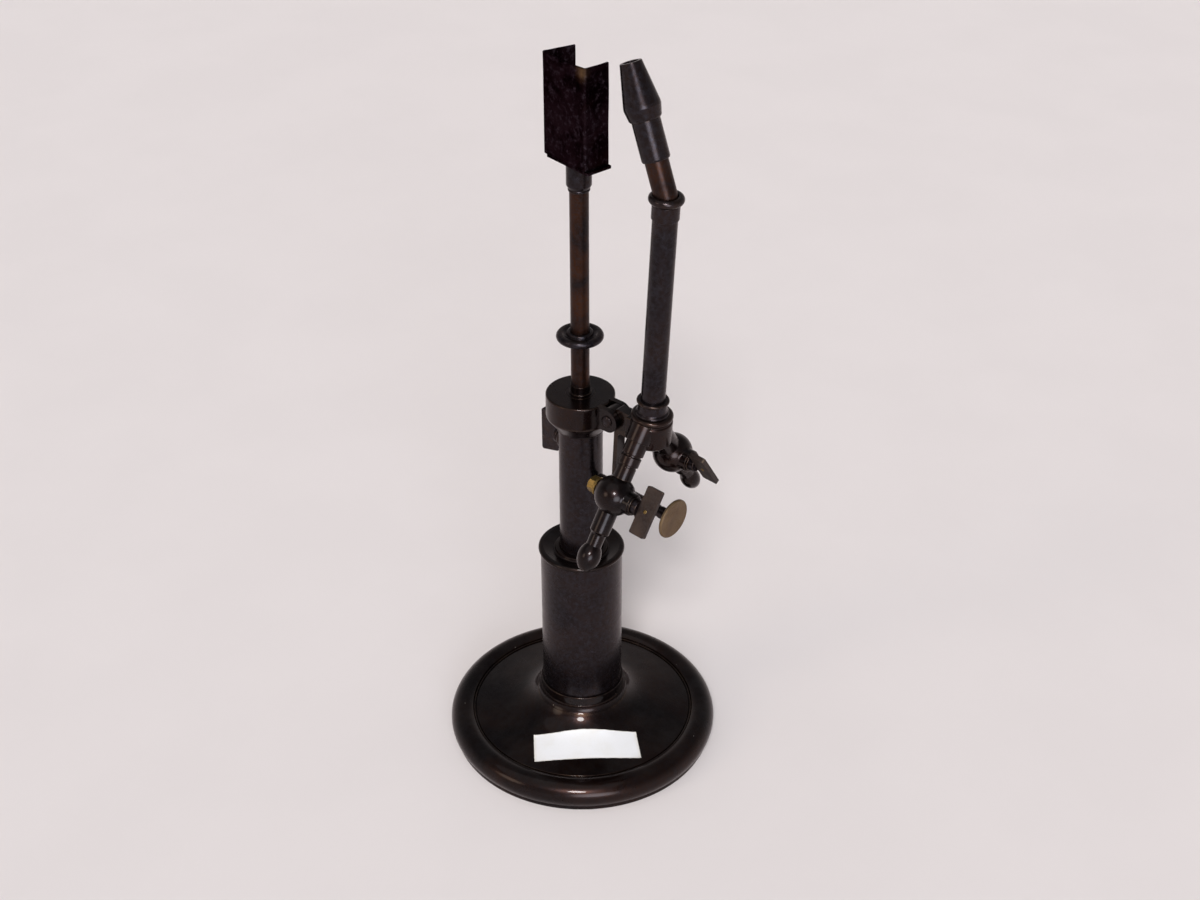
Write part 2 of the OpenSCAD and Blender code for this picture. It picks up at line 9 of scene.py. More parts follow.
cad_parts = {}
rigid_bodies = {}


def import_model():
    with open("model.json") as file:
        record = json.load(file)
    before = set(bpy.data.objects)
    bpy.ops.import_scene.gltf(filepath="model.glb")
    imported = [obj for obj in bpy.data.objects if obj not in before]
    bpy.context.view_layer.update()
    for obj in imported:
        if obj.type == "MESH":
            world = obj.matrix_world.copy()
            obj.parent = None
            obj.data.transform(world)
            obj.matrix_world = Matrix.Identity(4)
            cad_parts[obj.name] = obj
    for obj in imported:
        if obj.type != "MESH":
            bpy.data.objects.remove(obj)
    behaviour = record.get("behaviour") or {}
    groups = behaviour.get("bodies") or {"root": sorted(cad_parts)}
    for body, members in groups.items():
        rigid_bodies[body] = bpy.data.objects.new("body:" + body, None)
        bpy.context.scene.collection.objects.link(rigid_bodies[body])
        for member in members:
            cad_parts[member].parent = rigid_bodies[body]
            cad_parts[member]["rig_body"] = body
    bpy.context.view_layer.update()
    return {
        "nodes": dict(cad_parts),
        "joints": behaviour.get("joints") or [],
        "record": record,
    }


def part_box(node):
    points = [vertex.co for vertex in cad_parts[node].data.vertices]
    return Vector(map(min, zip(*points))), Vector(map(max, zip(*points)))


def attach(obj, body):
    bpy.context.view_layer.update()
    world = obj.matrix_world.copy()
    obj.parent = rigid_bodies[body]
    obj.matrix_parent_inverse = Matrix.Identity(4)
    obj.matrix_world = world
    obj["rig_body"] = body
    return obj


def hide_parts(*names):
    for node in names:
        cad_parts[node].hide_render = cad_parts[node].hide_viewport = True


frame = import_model()
mm = 0.001

# Camera: where the lamp was seen from, 33 degrees down and 41 degrees round from its side

cameraSettings = {
    "turn": 41.0,
    "back": 786.0,
    "right": 10.0,
    "height": 696.0,
    "down": 33.0,
    "lens": 54.0,
    "filmWidth": 36.0,
    "nearest": 0.01,
    "farthest": 20.0,
}


def placed(name, data):
    made = bpy.data.objects.new(name, data)
    bpy.context.scene.collection.objects.link(made)
    return made


def makeCamera(settings):
    turn = math.radians(settings["turn"])
    down = math.radians(settings["down"])
    data = bpy.data.cameras.new("photoCamera")
    camera = placed("photoCamera", data)
    spot = Vector((settings["right"], -settings["back"], settings["height"])) * mm
    around = Matrix.Rotation(turn, 4, "Z")
    tilt = Matrix.Rotation(math.pi / 2 - down, 4, "X")
    camera.matrix_world = around @ Matrix.Translation(spot) @ tilt
    data.lens = settings["lens"]
    data.sensor_fit = "HORIZONTAL"
    data.sensor_width = settings["filmWidth"]
    data.clip_start = settings["nearest"]
    data.clip_end = settings["farthest"]
    bpy.context.scene.camera = camera


makeCamera(cameraSettings)
bpy.context.scene.view_settings.view_transform = "Standard"

# Places, all in millimetres. Everything on the burner leans out about the hinge.

runningFit = 0.05  # between parts that move in one another
seatedFit = 0.02  # between parts that rest on one another
joints = {joint["name"]: joint for joint in frame["joints"]}
slotOf = {row["node"]: row["material_slot"] for row in frame["record"]["subparts"]}


def jointSpot(name):
    return Vector(joints[name]["pos_m"]) / mm


def lowOf(node):
    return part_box(node)[0] / mm


def highOf(node):
    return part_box(node)[1] / mm


# The lowest and the highest Z of a CAD node
def spanOf(node):
    return lowOf(node).z, highOf(node).z


def radiusOf(node):
    return highOf(node).x


def turnedBy(degrees, axis):
    return Matrix.Rotation(math.radians(degrees), 4, axis)


hingeSpot = jointSpot("burner_tilt")
leanAxis = Vector(joints["elbow_swivel"]["axis"])
leanTurn = Matrix.Rotation(math.atan2(leanAxis.x, leanAxis.z), 4, "Y")
leaning = Matrix.Translation(hingeSpot) @ leanTurn @ Matrix.Translation(-hingeSpot)
bendSpot = leaning.inverted() @ jointSpot("elbow_swivel")
tubeAxis = leaning @ Matrix.Translation((bendSpot.x, 0, 0))
hingeAxis = Matrix.Translation(hingeSpot) @ turnedBy(90, "X")
standing = Matrix()


# Outlines: a corner is (x, y) or (x, y, radius), and a radius becomes an arc

outlineSettings = {
    "straight": 89.0,
    "reach": 0.49,
    "arcStep": 15.0,
}


def rounded(corners, closed=True):
    points = []
    for i, corner in enumerate(corners):
        here = Vector(corner[:2])
        radius = corner[2] if len(corner) > 2 else 0
        before = Vector(corners[i - 1][:2]) - here
        after = Vector(corners[(i + 1) % len(corners)][:2]) - here
        atEnd = not closed and i in (0, len(corners) - 1)
        if radius == 0 or atEnd or before.length * after.length == 0:
            points.append(here)
            continue
        half = before.angle(after) / 2
        if half > math.radians(outlineSettings["straight"]):
            points.append(here)
            continue
        longest = [outlineSettings["reach"] * side.length for side in (before, after)]
        reach = min(radius / math.tan(half), *longest)
        radius = reach * math.tan(half)
        middle = (before.normalized() + after.normalized()).normalized()
        centre = here + middle * radius / math.sin(half)
        start = here + before.normalized() * reach - centre
        end = here + after.normalized() * reach - centre
        first = math.atan2(start.y, start.x)
        sweep = (math.atan2(end.y, end.x) - first + math.pi) % (2 * math.pi) - math.pi
        steps = max(2, round(abs(math.degrees(sweep)) / outlineSettings["arcStep"]))
        for k in range(steps + 1):
            angle = first + sweep * k / steps
            points.append(centre + Vector((math.cos(angle), math.sin(angle))) * radius)
    return points


def arc(centreX, centreY, radius, first, last, step=6):
    count = max(2, round(abs(last - first) / step))
    turns = [math.radians(first + (last - first) * k / count) for k in range(count + 1)]
    return [(centreX + radius * math.cos(a), centreY + radius * math.sin(a)) for a in turns]


# Long stretches get extra points, closely beside their ends, so that edge wear stays at the edges
def divided(points, closed, longest=6.0, hold=0.6):
    result = []
    count = len(points) if closed else len(points) - 1
    for i in range(count):
        start = points[i]
        end = points[(i + 1) % len(points)]
        length = (end - start).length
        result.append(start)
        if length > 4 * hold:
            inner = max(1, math.ceil((length - 2 * hold) / longest))
            for k in range(inner + 1):
                share = (hold + (length - 2 * hold) * k / inner) / length
                result.append(start.lerp(end, share))
    if not closed:
        result.append(points[-1])
    return result


# Pieces are built and cut in millimetres, and become metres when they are dressed

axisReach = 1e-6  # a point nearer to the axis than this is on it
weldGap = 1e-4  # points nearer than this become one
squareOn = 0.99  # a face this square to its axis is one of a block's six sides


def meshed(name, bm):
    mesh = bpy.data.meshes.new(name)
    bm.to_mesh(mesh)
    bm.free()
    return placed(name, mesh)


def newPiece(name, vertices, faces):
    mesh = bpy.data.meshes.new(name)
    mesh.from_pydata([Vector(v) for v in vertices], [], faces)
    bm = bmesh.new()
    bm.from_mesh(mesh)
    bmesh.ops.remove_doubles(bm, verts=bm.verts, dist=weldGap)
    bmesh.ops.recalc_face_normals(bm, faces=bm.faces)
    bm.to_mesh(mesh)
    bm.free()
    return placed(name, mesh)


# A piece turned on the lathe. A closed profile leaves a bore, an open one ends on the axis.
def turned(name, corners, place, closed=True, steps=96, longest=6.0, shape=None):
    profile = divided(rounded(corners, closed), closed, longest)
    vertices = []
    rings = []
    for point in profile:
        onAxis = point.x < axisReach
        ring = []
        for k in range(1 if onAxis else steps):
            angle = 2 * math.pi * k / steps
            spot = Vector((point.x * math.cos(angle), point.x * math.sin(angle), point.y))
            if shape:
                spot = shape(spot)
            ring.append(len(vertices))
            vertices.append(place @ spot)
        rings.append(ring)
    faces = []
    for i in range(len(rings) if closed else len(rings) - 1):
        low = rings[i]
        high = rings[(i + 1) % len(rings)]
        for k in range(steps):
            after = (k + 1) % steps
            if len(low) == 1 and len(high) == 1:
                continue
            if len(low) == 1:
                faces.append((low[0], high[after], high[k]))
            elif len(high) == 1:
                faces.append((low[k], low[after], high[0]))
            else:
                faces.append((low[k], low[after], high[after], high[k]))
    return newPiece(name, vertices, faces)


# A plain round bar along the place's Z, to cut with
def bar(name, radius, low, high, place, steps=48):
    corners = [(0, low), (radius, low), (radius, high), (0, high)]
    return turned(name, corners, place, closed=False, steps=steps)


# The faces between rings of points, each ring with the same count of them
def skinBetween(rings, count, first=0, inward=False):
    faces = []
    for k in range(rings - 1):
        for i in range(count):
            low = first + k * count + i
            after = first + k * count + (i + 1) % count
            face = (low, after, after + count, low + count)
            faces.append((low, low + count, after + count, after) if inward else face)
    return faces


# A flat piece: its outline lies in the place's XY plane, its thickness goes up Z
def plate(name, corners, thickness, place, bevel=0.3, inset=0.7):
    outline = rounded(corners)
    bm = bmesh.new()
    bottom = [bm.verts.new((p.x, p.y, 0)) for p in outline]
    top = [bm.verts.new((p.x, p.y, thickness)) for p in outline]
    lids = [bm.faces.new(list(reversed(bottom))), bm.faces.new(top)]
    for i in range(len(outline)):
        after = (i + 1) % len(outline)
        bm.faces.new((bottom[i], bottom[after], top[after], top[i]))
    rim = list({edge for lid in lids for edge in lid.edges})
    bmesh.ops.inset_individual(bm, faces=lids, thickness=inset)
    bmesh.ops.bevel(bm, geom=rim, offset=bevel, segments=3, profile=0.5, affect="EDGES")
    return fromShape(name, bm, place)


# A box with rounded edges, and an inner loop on each face
def block(name, low, high, place, bevel=0.5, inset=0.6):
    bm = bmesh.new()
    bmesh.ops.create_cube(bm, size=1)
    size = Vector(high) - Vector(low)
    middle = (Vector(high) + Vector(low)) / 2
    for vertex in bm.verts:
        vertex.co = Vector([vertex.co[i] * size[i] + middle[i] for i in range(3)])
    edges = list(bm.edges)
    bmesh.ops.bevel(bm, geom=edges, offset=bevel, segments=3, profile=0.5, affect="EDGES")
    bm.normal_update()
    flat = [face for face in bm.faces if max(abs(c) for c in face.normal) > squareOn]
    bmesh.ops.inset_individual(bm, faces=flat, thickness=min(inset, 0.2 * min(size)))
    return fromShape(name, bm, place)


def fromShape(name, bm, place):
    bmesh.ops.recalc_face_normals(bm, faces=bm.faces)
    bmesh.ops.transform(bm, matrix=place, verts=bm.verts)
    return meshed(name, bm)


def applyModifiers(piece):
    depsgraph = bpy.context.evaluated_depsgraph_get()
    mesh = bpy.data.meshes.new_from_object(piece.evaluated_get(depsgraph))
    piece.modifiers.clear()
    piece.data = mesh


# Joins others to a piece, or cuts them out of it, and removes them
def worked(piece, operation, *others):
    for other in others:
        modifier = piece.modifiers.new(operation.lower(), "BOOLEAN")
        modifier.operation = operation
        modifier.solver = "EXACT"
        modifier.object = other
    applyModifiers(piece)
    for other in others:
        bpy.data.objects.remove(other)
    return piece


# Several pieces as one object, where they only touch
def together(name, pieces):
    bm = bmesh.new()
    for piece in pieces:
        bm.from_mesh(piece.data)
        bpy.data.objects.remove(piece)
    return meshed(name, bm)


# Keeps one value for each point of a piece, for its material to read
def store(piece, name, values, kind="FLOAT", field="value"):
    piece.data.attributes.new(name, kind, "POINT").data.foreach_set(field, values)


# What the materials read from a mesh: where edges are rubbed, where dust lies, and the turning direction.
# An edge is rubbed from the blunt angle on, in radians, and fully so after the rise.
rubSettings = {
    "blunt": 0.14,
    "rise": 0.12,
    "grainAcross": 0.1,
}


def measure(piece, place):
    bm = bmesh.new()
    bm.from_mesh(piece.data)
    back = place.inverted()
    wear = []
    dust = []
    grain = []
    for vertex in bm.verts:
        bends = [e.calc_face_angle_signed(0) for e in vertex.link_edges if len(e.link_faces) == 2]
        sharpest = max(bends, default=0)
        wear.append(min(1, max(0, (sharpest - rubSettings["blunt"]) / rubSettings["rise"])))
        dust.append(max(0, vertex.normal.z))
        spot = back @ vertex.co
        radius = math.hypot(spot.x, spot.y)
        grain.extend((radius, spot.z, rubSettings["grainAcross"] * spot.y))
    bm.free()
    store(piece, "wear", wear)
    store(piece, "dust", dust)
    store(piece, "grain", grain, "FLOAT_VECTOR", "vector")


# Puts a finished piece in the place of one or more CAD nodes, on their body and in their finish
def dress(piece, place, *nodes, sharp=32):
    mesh = piece.data
    mesh.polygons.foreach_set("use_smooth", [True] * len(mesh.polygons))
    mesh.set_sharp_from_angle(angle=math.radians(sharp))
    measure(piece, place)
    mesh.transform(Matrix.Scale(mm, 4))
    slot = slotOf[nodes[0]]
    mesh.materials.clear()
    mesh.materials.append(finishes[slot])
    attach(piece, frame["nodes"][nodes[0]]["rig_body"])
    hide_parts(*nodes)
    return piece


# A turned piece that needs no other work, in the place of one CAD node
def lathed(name, node, corners, place, **options):
    return dress(turned(name, corners, place, **options), place, node)


# Materials

def addNode(tree, kind, **values):
    made = tree.nodes.new("ShaderNode" + kind)
    for key, value in values.items():
        setattr(made, key, value)
    return made


def link(tree, source, target):
    if isinstance(source, bpy.types.NodeSocket):
        tree.links.new(source, target)
    else:
        target.default_value = source


def noiseOf(tree, vector, scale, detail=4.0, rough=0.55, warp=0.0):
    made = addNode(tree, "TexNoise")
    tree.links.new(vector, made.inputs["Vector"])
    made.inputs["Scale"].default_value = scale
    made.inputs["Detail"].default_value = detail
    made.inputs["Roughness"].default_value = rough
    made.inputs["Distortion"].default_value = warp
    return made.outputs["Fac"]


def ranged(tree, value, low, high, toLow=0.0, toHigh=1.0):
    made = addNode(tree, "MapRange")
    link(tree, value, made.inputs["Value"])
    for name, amount in (("From Min", low), ("From Max", high), ("To Min", toLow), ("To Max", toHigh)):
        made.inputs[name].default_value = amount
    return made.outputs["Result"]


def reckon(tree, operation, first, second):
    made = addNode(tree, "Math", operation=operation)
    link(tree, first, made.inputs[0])
    link(tree, second, made.inputs[1])
    return made.outputs["Value"]


# In a colour Mix node the socket 0 is the factor, 6 and 7 are the colours, and 2 is the result
def mixed(tree, share, first, second):
    made = addNode(tree, "Mix", data_type="RGBA")
    link(tree, share, made.inputs[0])
    link(tree, first, made.inputs[6])
    link(tree, second, made.inputs[7])
    return made.outputs[2]


def attribute(tree, name, output="Fac"):
    return addNode(tree, "Attribute", attribute_name=name).outputs[output]


def scaledVector(tree, vector, scale):
    made = addNode(tree, "Mapping")
    tree.links.new(vector, made.inputs["Vector"])
    made.inputs["Scale"].default_value = scale
    return made.outputs["Vector"]


def bumped(tree, height, distance, strength, before=None):
    made = addNode(tree, "Bump")
    made.inputs["Distance"].default_value = distance
    made.inputs["Strength"].default_value = strength
    tree.links.new(height, made.inputs["Height"])
    if before:
        tree.links.new(before, made.inputs["Normal"])
    return made.outputs["Normal"]


# Single grains of dust, in about one cell of three
speckLook = {
    "cells": 130,
    "size": (0.025, 0.05),
    "chance": (0.62, 0.7),
    "strength": 0.7,
}


def specksOf(tree, spot):
    cells = addNode(tree, "TexVoronoi")
    tree.links.new(spot, cells.inputs["Vector"])
    cells.inputs["Scale"].default_value = speckLook["cells"]
    near = ranged(tree, cells.outputs["Distance"], *speckLook["size"], 1, 0)
    colour = addNode(tree, "SeparateColor")
    tree.links.new(cells.outputs["Color"], colour.inputs["Color"])
    chance = ranged(tree, colour.outputs["Red"], *speckLook["chance"], 0, speckLook["strength"])
    return reckon(tree, "MULTIPLY", near, chance)


def shade(*channels):
    return (*channels, 1.0)


def newMaterial(name):
    material = bpy.data.materials.new(name)
    material.use_nodes = True
    tree = material.node_tree
    shader = tree.nodes["Principled BSDF"]
    spot = addNode(tree, "TexCoord").outputs["Object"]
    return material, tree, shader, spot


# Bronzed brass: patches of brown and grey-violet in a black-brown skin, handling marks in the gloss,
# lathe marks, rubbed edges where the brass shows, and a little dust on what faces up.
# These values hold for all such finishes. A pair is where a noise begins to show and where it is full.
skinLook = {
    "patches": (0.38, 0.62),
    "mottleFiner": 15,
    "mottle": (0.42, 0.68),
    "rubScale": 90,
    "rub": (0.4, 0.62),
    "dustSlope": (0.75, 1.0),
    "filmScale": 60,
    "film": (0.4, 0.75),
    "filmColour": shade(0.3, 0.28, 0.26),
    "speckColour": shade(0.42, 0.39, 0.35),
    "smearFiner": 2.6,
    "smear": (0.3, 0.72),
    "grainStretch": (9, 9, 1),
    "unevenScale": 130,
    "unevenDepth": 0.001,
    "markDepth": 0.0002,
}


def bronzed(name, look):
    material, tree, shader, spot = newMaterial(name)
    scale = look["patchScale"]
    patches = noiseOf(tree, spot, scale, detail=5, rough=0.6, warp=0.6)
    mottle = noiseOf(tree, spot, scale * skinLook["mottleFiner"], detail=6, rough=0.7)
    tint = mixed(tree, ranged(tree, patches, *skinLook["patches"]), look["deep"], look["warm"])
    cool = ranged(tree, mottle, *skinLook["mottle"], 0, look["coolShare"])
    tint = mixed(tree, cool, tint, look["cool"])
    handled = noiseOf(tree, spot, skinLook["rubScale"], detail=5, rough=0.7)
    rub = reckon(tree, "MULTIPLY", ranged(tree, handled, *skinLook["rub"]), attribute(tree, "wear"))
    rub = reckon(tree, "MULTIPLY", rub, look["wear"])
    tint = mixed(tree, rub, tint, look["worn"])
    upward = ranged(tree, attribute(tree, "dust"), *skinLook["dustSlope"], 0, look["dust"])
    film = noiseOf(tree, spot, skinLook["filmScale"], detail=6, rough=0.7)
    film = reckon(tree, "MULTIPLY", upward, ranged(tree, film, *skinLook["film"]))
    tint = mixed(tree, film, tint, skinLook["filmColour"])
    specks = reckon(tree, "MULTIPLY", specksOf(tree, spot), attribute(tree, "dust"))
    tint = mixed(tree, specks, tint, skinLook["speckColour"])
    tree.links.new(tint, shader.inputs["Base Color"])
    smear = noiseOf(tree, spot, scale * skinLook["smearFiner"], detail=5, rough=0.6, warp=1.2)
    gloss = ranged(tree, smear, *skinLook["smear"], look["roughLow"], look["roughHigh"])
    tree.links.new(reckon(tree, "MAXIMUM", gloss, specks), shader.inputs["Roughness"])
    shader.inputs["Metallic"].default_value = look["metallic"]
    shader.inputs["Specular Tint"].default_value = look["edge"]
    shader.inputs["Coat Weight"].default_value = look["coat"]
    shader.inputs["Coat Roughness"].default_value = look["coatRough"]
    lines = scaledVector(tree, attribute(tree, "grain", "Vector"), skinLook["grainStretch"])
    cutMarks = noiseOf(tree, lines, 1, detail=3, rough=0.6)
    uneven = noiseOf(tree, spot, skinLook["unevenScale"], detail=3, rough=0.5)
    soft = bumped(tree, uneven, skinLook["unevenDepth"], look["uneven"])
    normal = bumped(tree, cutMarks, skinLook["markDepth"], look["latheMarks"], soft)
    tree.links.new(normal, shader.inputs["Normal"])
    return material


glossLook = {
    "deep": shade(0.005, 0.0022, 0.0022),
    "warm": shade(0.018, 0.007, 0.0045),
    "cool": shade(0.013, 0.010, 0.0125),
    "worn": shade(0.12, 0.065, 0.03),
    "patchScale": 24.0,
    "coolShare": 0.6,
    "wear": 0.2,
    "dust": 0.06,
    "roughLow": 0.24,
    "roughHigh": 0.36,
    "metallic": 0.9,
    "edge": shade(0.8, 0.75, 0.75),
    "coat": 0.25,
    "coatRough": 0.05,
    "uneven": 0.05,
    "latheMarks": 0.1,
}
satinLook = {
    **glossLook,
    "deep": shade(0.009, 0.0055, 0.0065),
    "warm": shade(0.020, 0.011, 0.010),
    "cool": shade(0.028, 0.026, 0.034),
    "patchScale": 30.0,
    "coolShare": 0.7,
    "metallic": 0.85,
    "roughLow": 0.2,
    "roughHigh": 0.34,
    "coat": 0.12,
    "coatRough": 0.2,
    "uneven": 0.08,
    "latheMarks": 0.1,
}
brownLook = {
    **satinLook,
    "deep": shade(0.009, 0.0045, 0.004),
    "warm": shade(0.046, 0.015, 0.005),
    "cool": shade(0.027, 0.021, 0.024),
    "worn": shade(0.26, 0.13, 0.05),
    "patchScale": 46.0,
    "metallic": 0.85,
    "roughLow": 0.28,
    "roughHigh": 0.42,
    "coat": 0.04,
    "wear": 0.5,
}
brassLook = {
    **satinLook,
    "deep": shade(0.10, 0.055, 0.014),
    "warm": shade(0.27, 0.17, 0.05),
    "cool": shade(0.16, 0.115, 0.05),
    "worn": shade(0.55, 0.40, 0.17),
    "metallic": 0.9,
    "roughLow": 0.22,
    "roughHigh": 0.4,
    "coat": 0.0,
    "wear": 0.6,
}
bladeLook = {
    **satinLook,
    "deep": shade(0.024, 0.015, 0.013),
    "warm": shade(0.048, 0.030, 0.023),
    "cool": shade(0.045, 0.036, 0.034),
    "worn": shade(0.24, 0.17, 0.11),
    "patchScale": 60.0,
    "metallic": 0.65,
    "roughLow": 0.4,
    "roughHigh": 0.56,
    "coat": 0.0,
    "wear": 0.4,
}
thumbLook = {
    **bladeLook,
    "deep": shade(0.085, 0.047, 0.023),
    "warm": shade(0.150, 0.092, 0.045),
    "cool": shade(0.115, 0.082, 0.052),
    "worn": shade(0.34, 0.25, 0.14),
    "latheMarks": 0.5,
}


# Heat-blackened sheet: grey-violet bloom over black, brown stains, and a rubbed corner
sheetLook = {
    "black": shade(0.003, 0.0009, 0.0015),
    "bloom": shade(0.015, 0.0075, 0.0100),
    "speck": shade(0.052, 0.040, 0.050),
    "stain": shade(0.022, 0.009, 0.006),
    "rubbed": shade(0.17, 0.10, 0.05),
    "edge": shade(0.4, 0.33, 0.36),
    "cloudScale": 42,
    "speckScale": 420,
    "stainScale": 26,
    "speckShare": 0.7,
    "stainShare": 0.6,
    "roughLow": 0.36,
    "roughHigh": 0.6,
    "gritDepth": 0.0003,
    "buckleDepth": 0.001,
}


def blackenedSheet(name, look):
    material, tree, shader, spot = newMaterial(name)
    cloud = noiseOf(tree, spot, look["cloudScale"], detail=6, rough=0.7, warp=1.0)
    speck = noiseOf(tree, spot, look["speckScale"], detail=4, rough=0.7)
    tint = mixed(tree, ranged(tree, cloud, 0.4, 0.62), look["black"], look["bloom"])
    tint = mixed(tree, ranged(tree, speck, 0.52, 0.72, 0, look["speckShare"]), tint, look["speck"])
    stain = noiseOf(tree, spot, look["stainScale"], detail=3, rough=0.5)
    tint = mixed(tree, ranged(tree, stain, 0.55, 0.75, 0, look["stainShare"]), tint, look["stain"])
    rub = reckon(tree, "MULTIPLY", attribute(tree, "rubbed"), ranged(tree, cloud, 0.3, 0.6, 0.3, 1))
    tint = mixed(tree, rub, tint, look["rubbed"])
    tree.links.new(tint, shader.inputs["Base Color"])
    gloss = ranged(tree, cloud, 0.3, 0.7, look["roughLow"], look["roughHigh"])
    tree.links.new(gloss, shader.inputs["Roughness"])
    shader.inputs["Metallic"].default_value = 1.0
    shader.inputs["Specular Tint"].default_value = look["edge"]
    grit = bumped(tree, speck, look["gritDepth"], 0.35)
    tree.links.new(bumped(tree, cloud, look["buckleDepth"], 0.25, grit), shader.inputs["Normal"])
    return material


# Steel and lead as they come, cloudy and a little uneven
def rawMetal(name, dark, light, metallic, roughness, scale):
    material, tree, shader, spot = newMaterial(name)
    cloud = noiseOf(tree, spot, scale, detail=6, rough=0.65, warp=0.4)
    tint = mixed(tree, ranged(tree, cloud, 0.35, 0.65), dark, light)
    tree.links.new(tint, shader.inputs["Base Color"])
    gloss = ranged(tree, cloud, 0.3, 0.7, roughness - 0.1, roughness + 0.1)
    tree.links.new(gloss, shader.inputs["Roughness"])
    shader.inputs["Metallic"].default_value = metallic
    pits = noiseOf(tree, spot, scale * 8, detail=4, rough=0.6)
    tree.links.new(bumped(tree, pits, 0.0005, 0.3), shader.inputs["Normal"])
    return material


# Cloth and leather: a fibre noise over a coarse one
def fibrous(name, dark, light, sheen, fibreScale):
    material, tree, shader, spot = newMaterial(name)
    fibre = noiseOf(tree, spot, fibreScale, detail=5, rough=0.75)
    patch = noiseOf(tree, spot, fibreScale / 20, detail=4, rough=0.6)
    patch = ranged(tree, patch, 0.3, 0.7, 0.5, 1)
    share = reckon(tree, "MULTIPLY", ranged(tree, fibre, 0.3, 0.7), patch)
    tree.links.new(mixed(tree, share, dark, light), shader.inputs["Base Color"])
    shader.inputs["Roughness"].default_value = 0.92
    shader.inputs["Sheen Weight"].default_value = sheen
    tree.links.new(bumped(tree, fibre, 0.0008, 0.8), shader.inputs["Normal"])
    return material


# Old white paper, with a faint yellow edge and fibres
paperLook = {
    "white": shade(0.83, 0.82, 0.83),
    "stain": shade(0.77, 0.74, 0.70),
    "edge": shade(0.60, 0.52, 0.40),
    "fibre": shade(0.68, 0.66, 0.66),
    "fibreScale": 1500,
    "stainScale": 70,
    "roughness": 0.75,
}


def paperMaterial(name, look):
    material, tree, shader, spot = newMaterial(name)
    fibre = noiseOf(tree, spot, look["fibreScale"], detail=4, rough=0.7)
    stain = noiseOf(tree, spot, look["stainScale"], detail=4, rough=0.6)
    tint = mixed(tree, ranged(tree, stain, 0.45, 0.75, 0, 0.7), look["white"], look["stain"])
    edge = ranged(tree, attribute(tree, "rubbed"), 0.2, 1, 0, 0.45)
    tint = mixed(tree, edge, tint, look["edge"])
    tint = mixed(tree, ranged(tree, fibre, 0.5, 0.8, 0, 0.25), tint, look["fibre"])
    tree.links.new(tint, shader.inputs["Base Color"])
    shader.inputs["Roughness"].default_value = look["roughness"]
    tree.links.new(bumped(tree, fibre, 0.0001, 0.5), shader.inputs["Normal"])
    return material


finishes = {
    "bronzed_gloss": bronzed("glossyBronze", glossLook),
    "bronzed_satin": bronzed("satinBronze", satinLook),
    "brown_brass": bronzed("brownBrass", brownLook),
    "yellow_brass": bronzed("yellowBrass", brassLook),
    "blade_grey": bronzed("keyBlade", bladeLook),
    "thumb_bronze": bronzed("thumbBronze", thumbLook),
    "holder_sheet": blackenedSheet("blackenedSheet", sheetLook),
    "steel": rawMetal("oldSteel", shade(0.16, 0.13, 0.11), shade(0.42, 0.41, 0.40), 0.9, 0.42, 120),
    "lead": rawMetal("castLead", shade(0.13, 0.13, 0.14), shade(0.27, 0.28, 0.30), 0.6, 0.6, 60),
    "baize": fibrous("greenBaize", shade(0.012, 0.045, 0.018), shade(0.05, 0.14, 0.06), 0.4, 1800),
    "leather": fibrous("greasedLeather", shade(0.07, 0.03, 0.015), shade(0.20, 0.10, 0.05), 0.0, 700),
    "paper": paperMaterial("blankPaper", paperLook),
}
for nodeName, cadNode in frame["nodes"].items():
    cadNode.data.materials.clear()
    cadNode.data.materials.append(finishes[slotOf[nodeName]])
print("materials made:", len(finishes))

# Foot: a shallow cone with a groove and a half-round rim, hollow underneath

footSizes = {
    "rimRadius": 7.8,
    "valleyIn": 5.9,
    "valleyUp": 5.3,
    "coneRadius": 25.0,
    "coneSteps": 40,
    "slope": 6.6,
    "flare": 7,
    "grooveIn": 0.75,
    "grooveDeep": 0.75,
    "beadRadius": 0.5,
    "wall": 4.0,
    "restRadius": 73.0,
    "wellRadius": 57.0,
    "hubRadius": 16.0,
    "hubHeight": 12.0,
    "boltRadius": 4.05,
}
footRadius = radiusOf("foot")
footTop = highOf("foot").z
rimCentre = footRadius - footSizes["rimRadius"]
valleyRadius = rimCentre - footSizes["valleyIn"]
valleyHeight = footSizes["rimRadius"] + footSizes["valleyUp"]


def footHeight(radius):
    share = (valleyRadius - radius) / (valleyRadius - footSizes["coneRadius"])
    share = min(1, max(0, share))
    lift = footTop - valleyHeight - footSizes["slope"]
    return valleyHeight + footSizes["slope"] * share + lift * share ** footSizes["flare"]


def hollowHeight(radius):
    span = valleyRadius - footSizes["coneRadius"]
    return valleyHeight - footSizes["wall"] + footSizes["slope"] * (valleyRadius - radius) / span


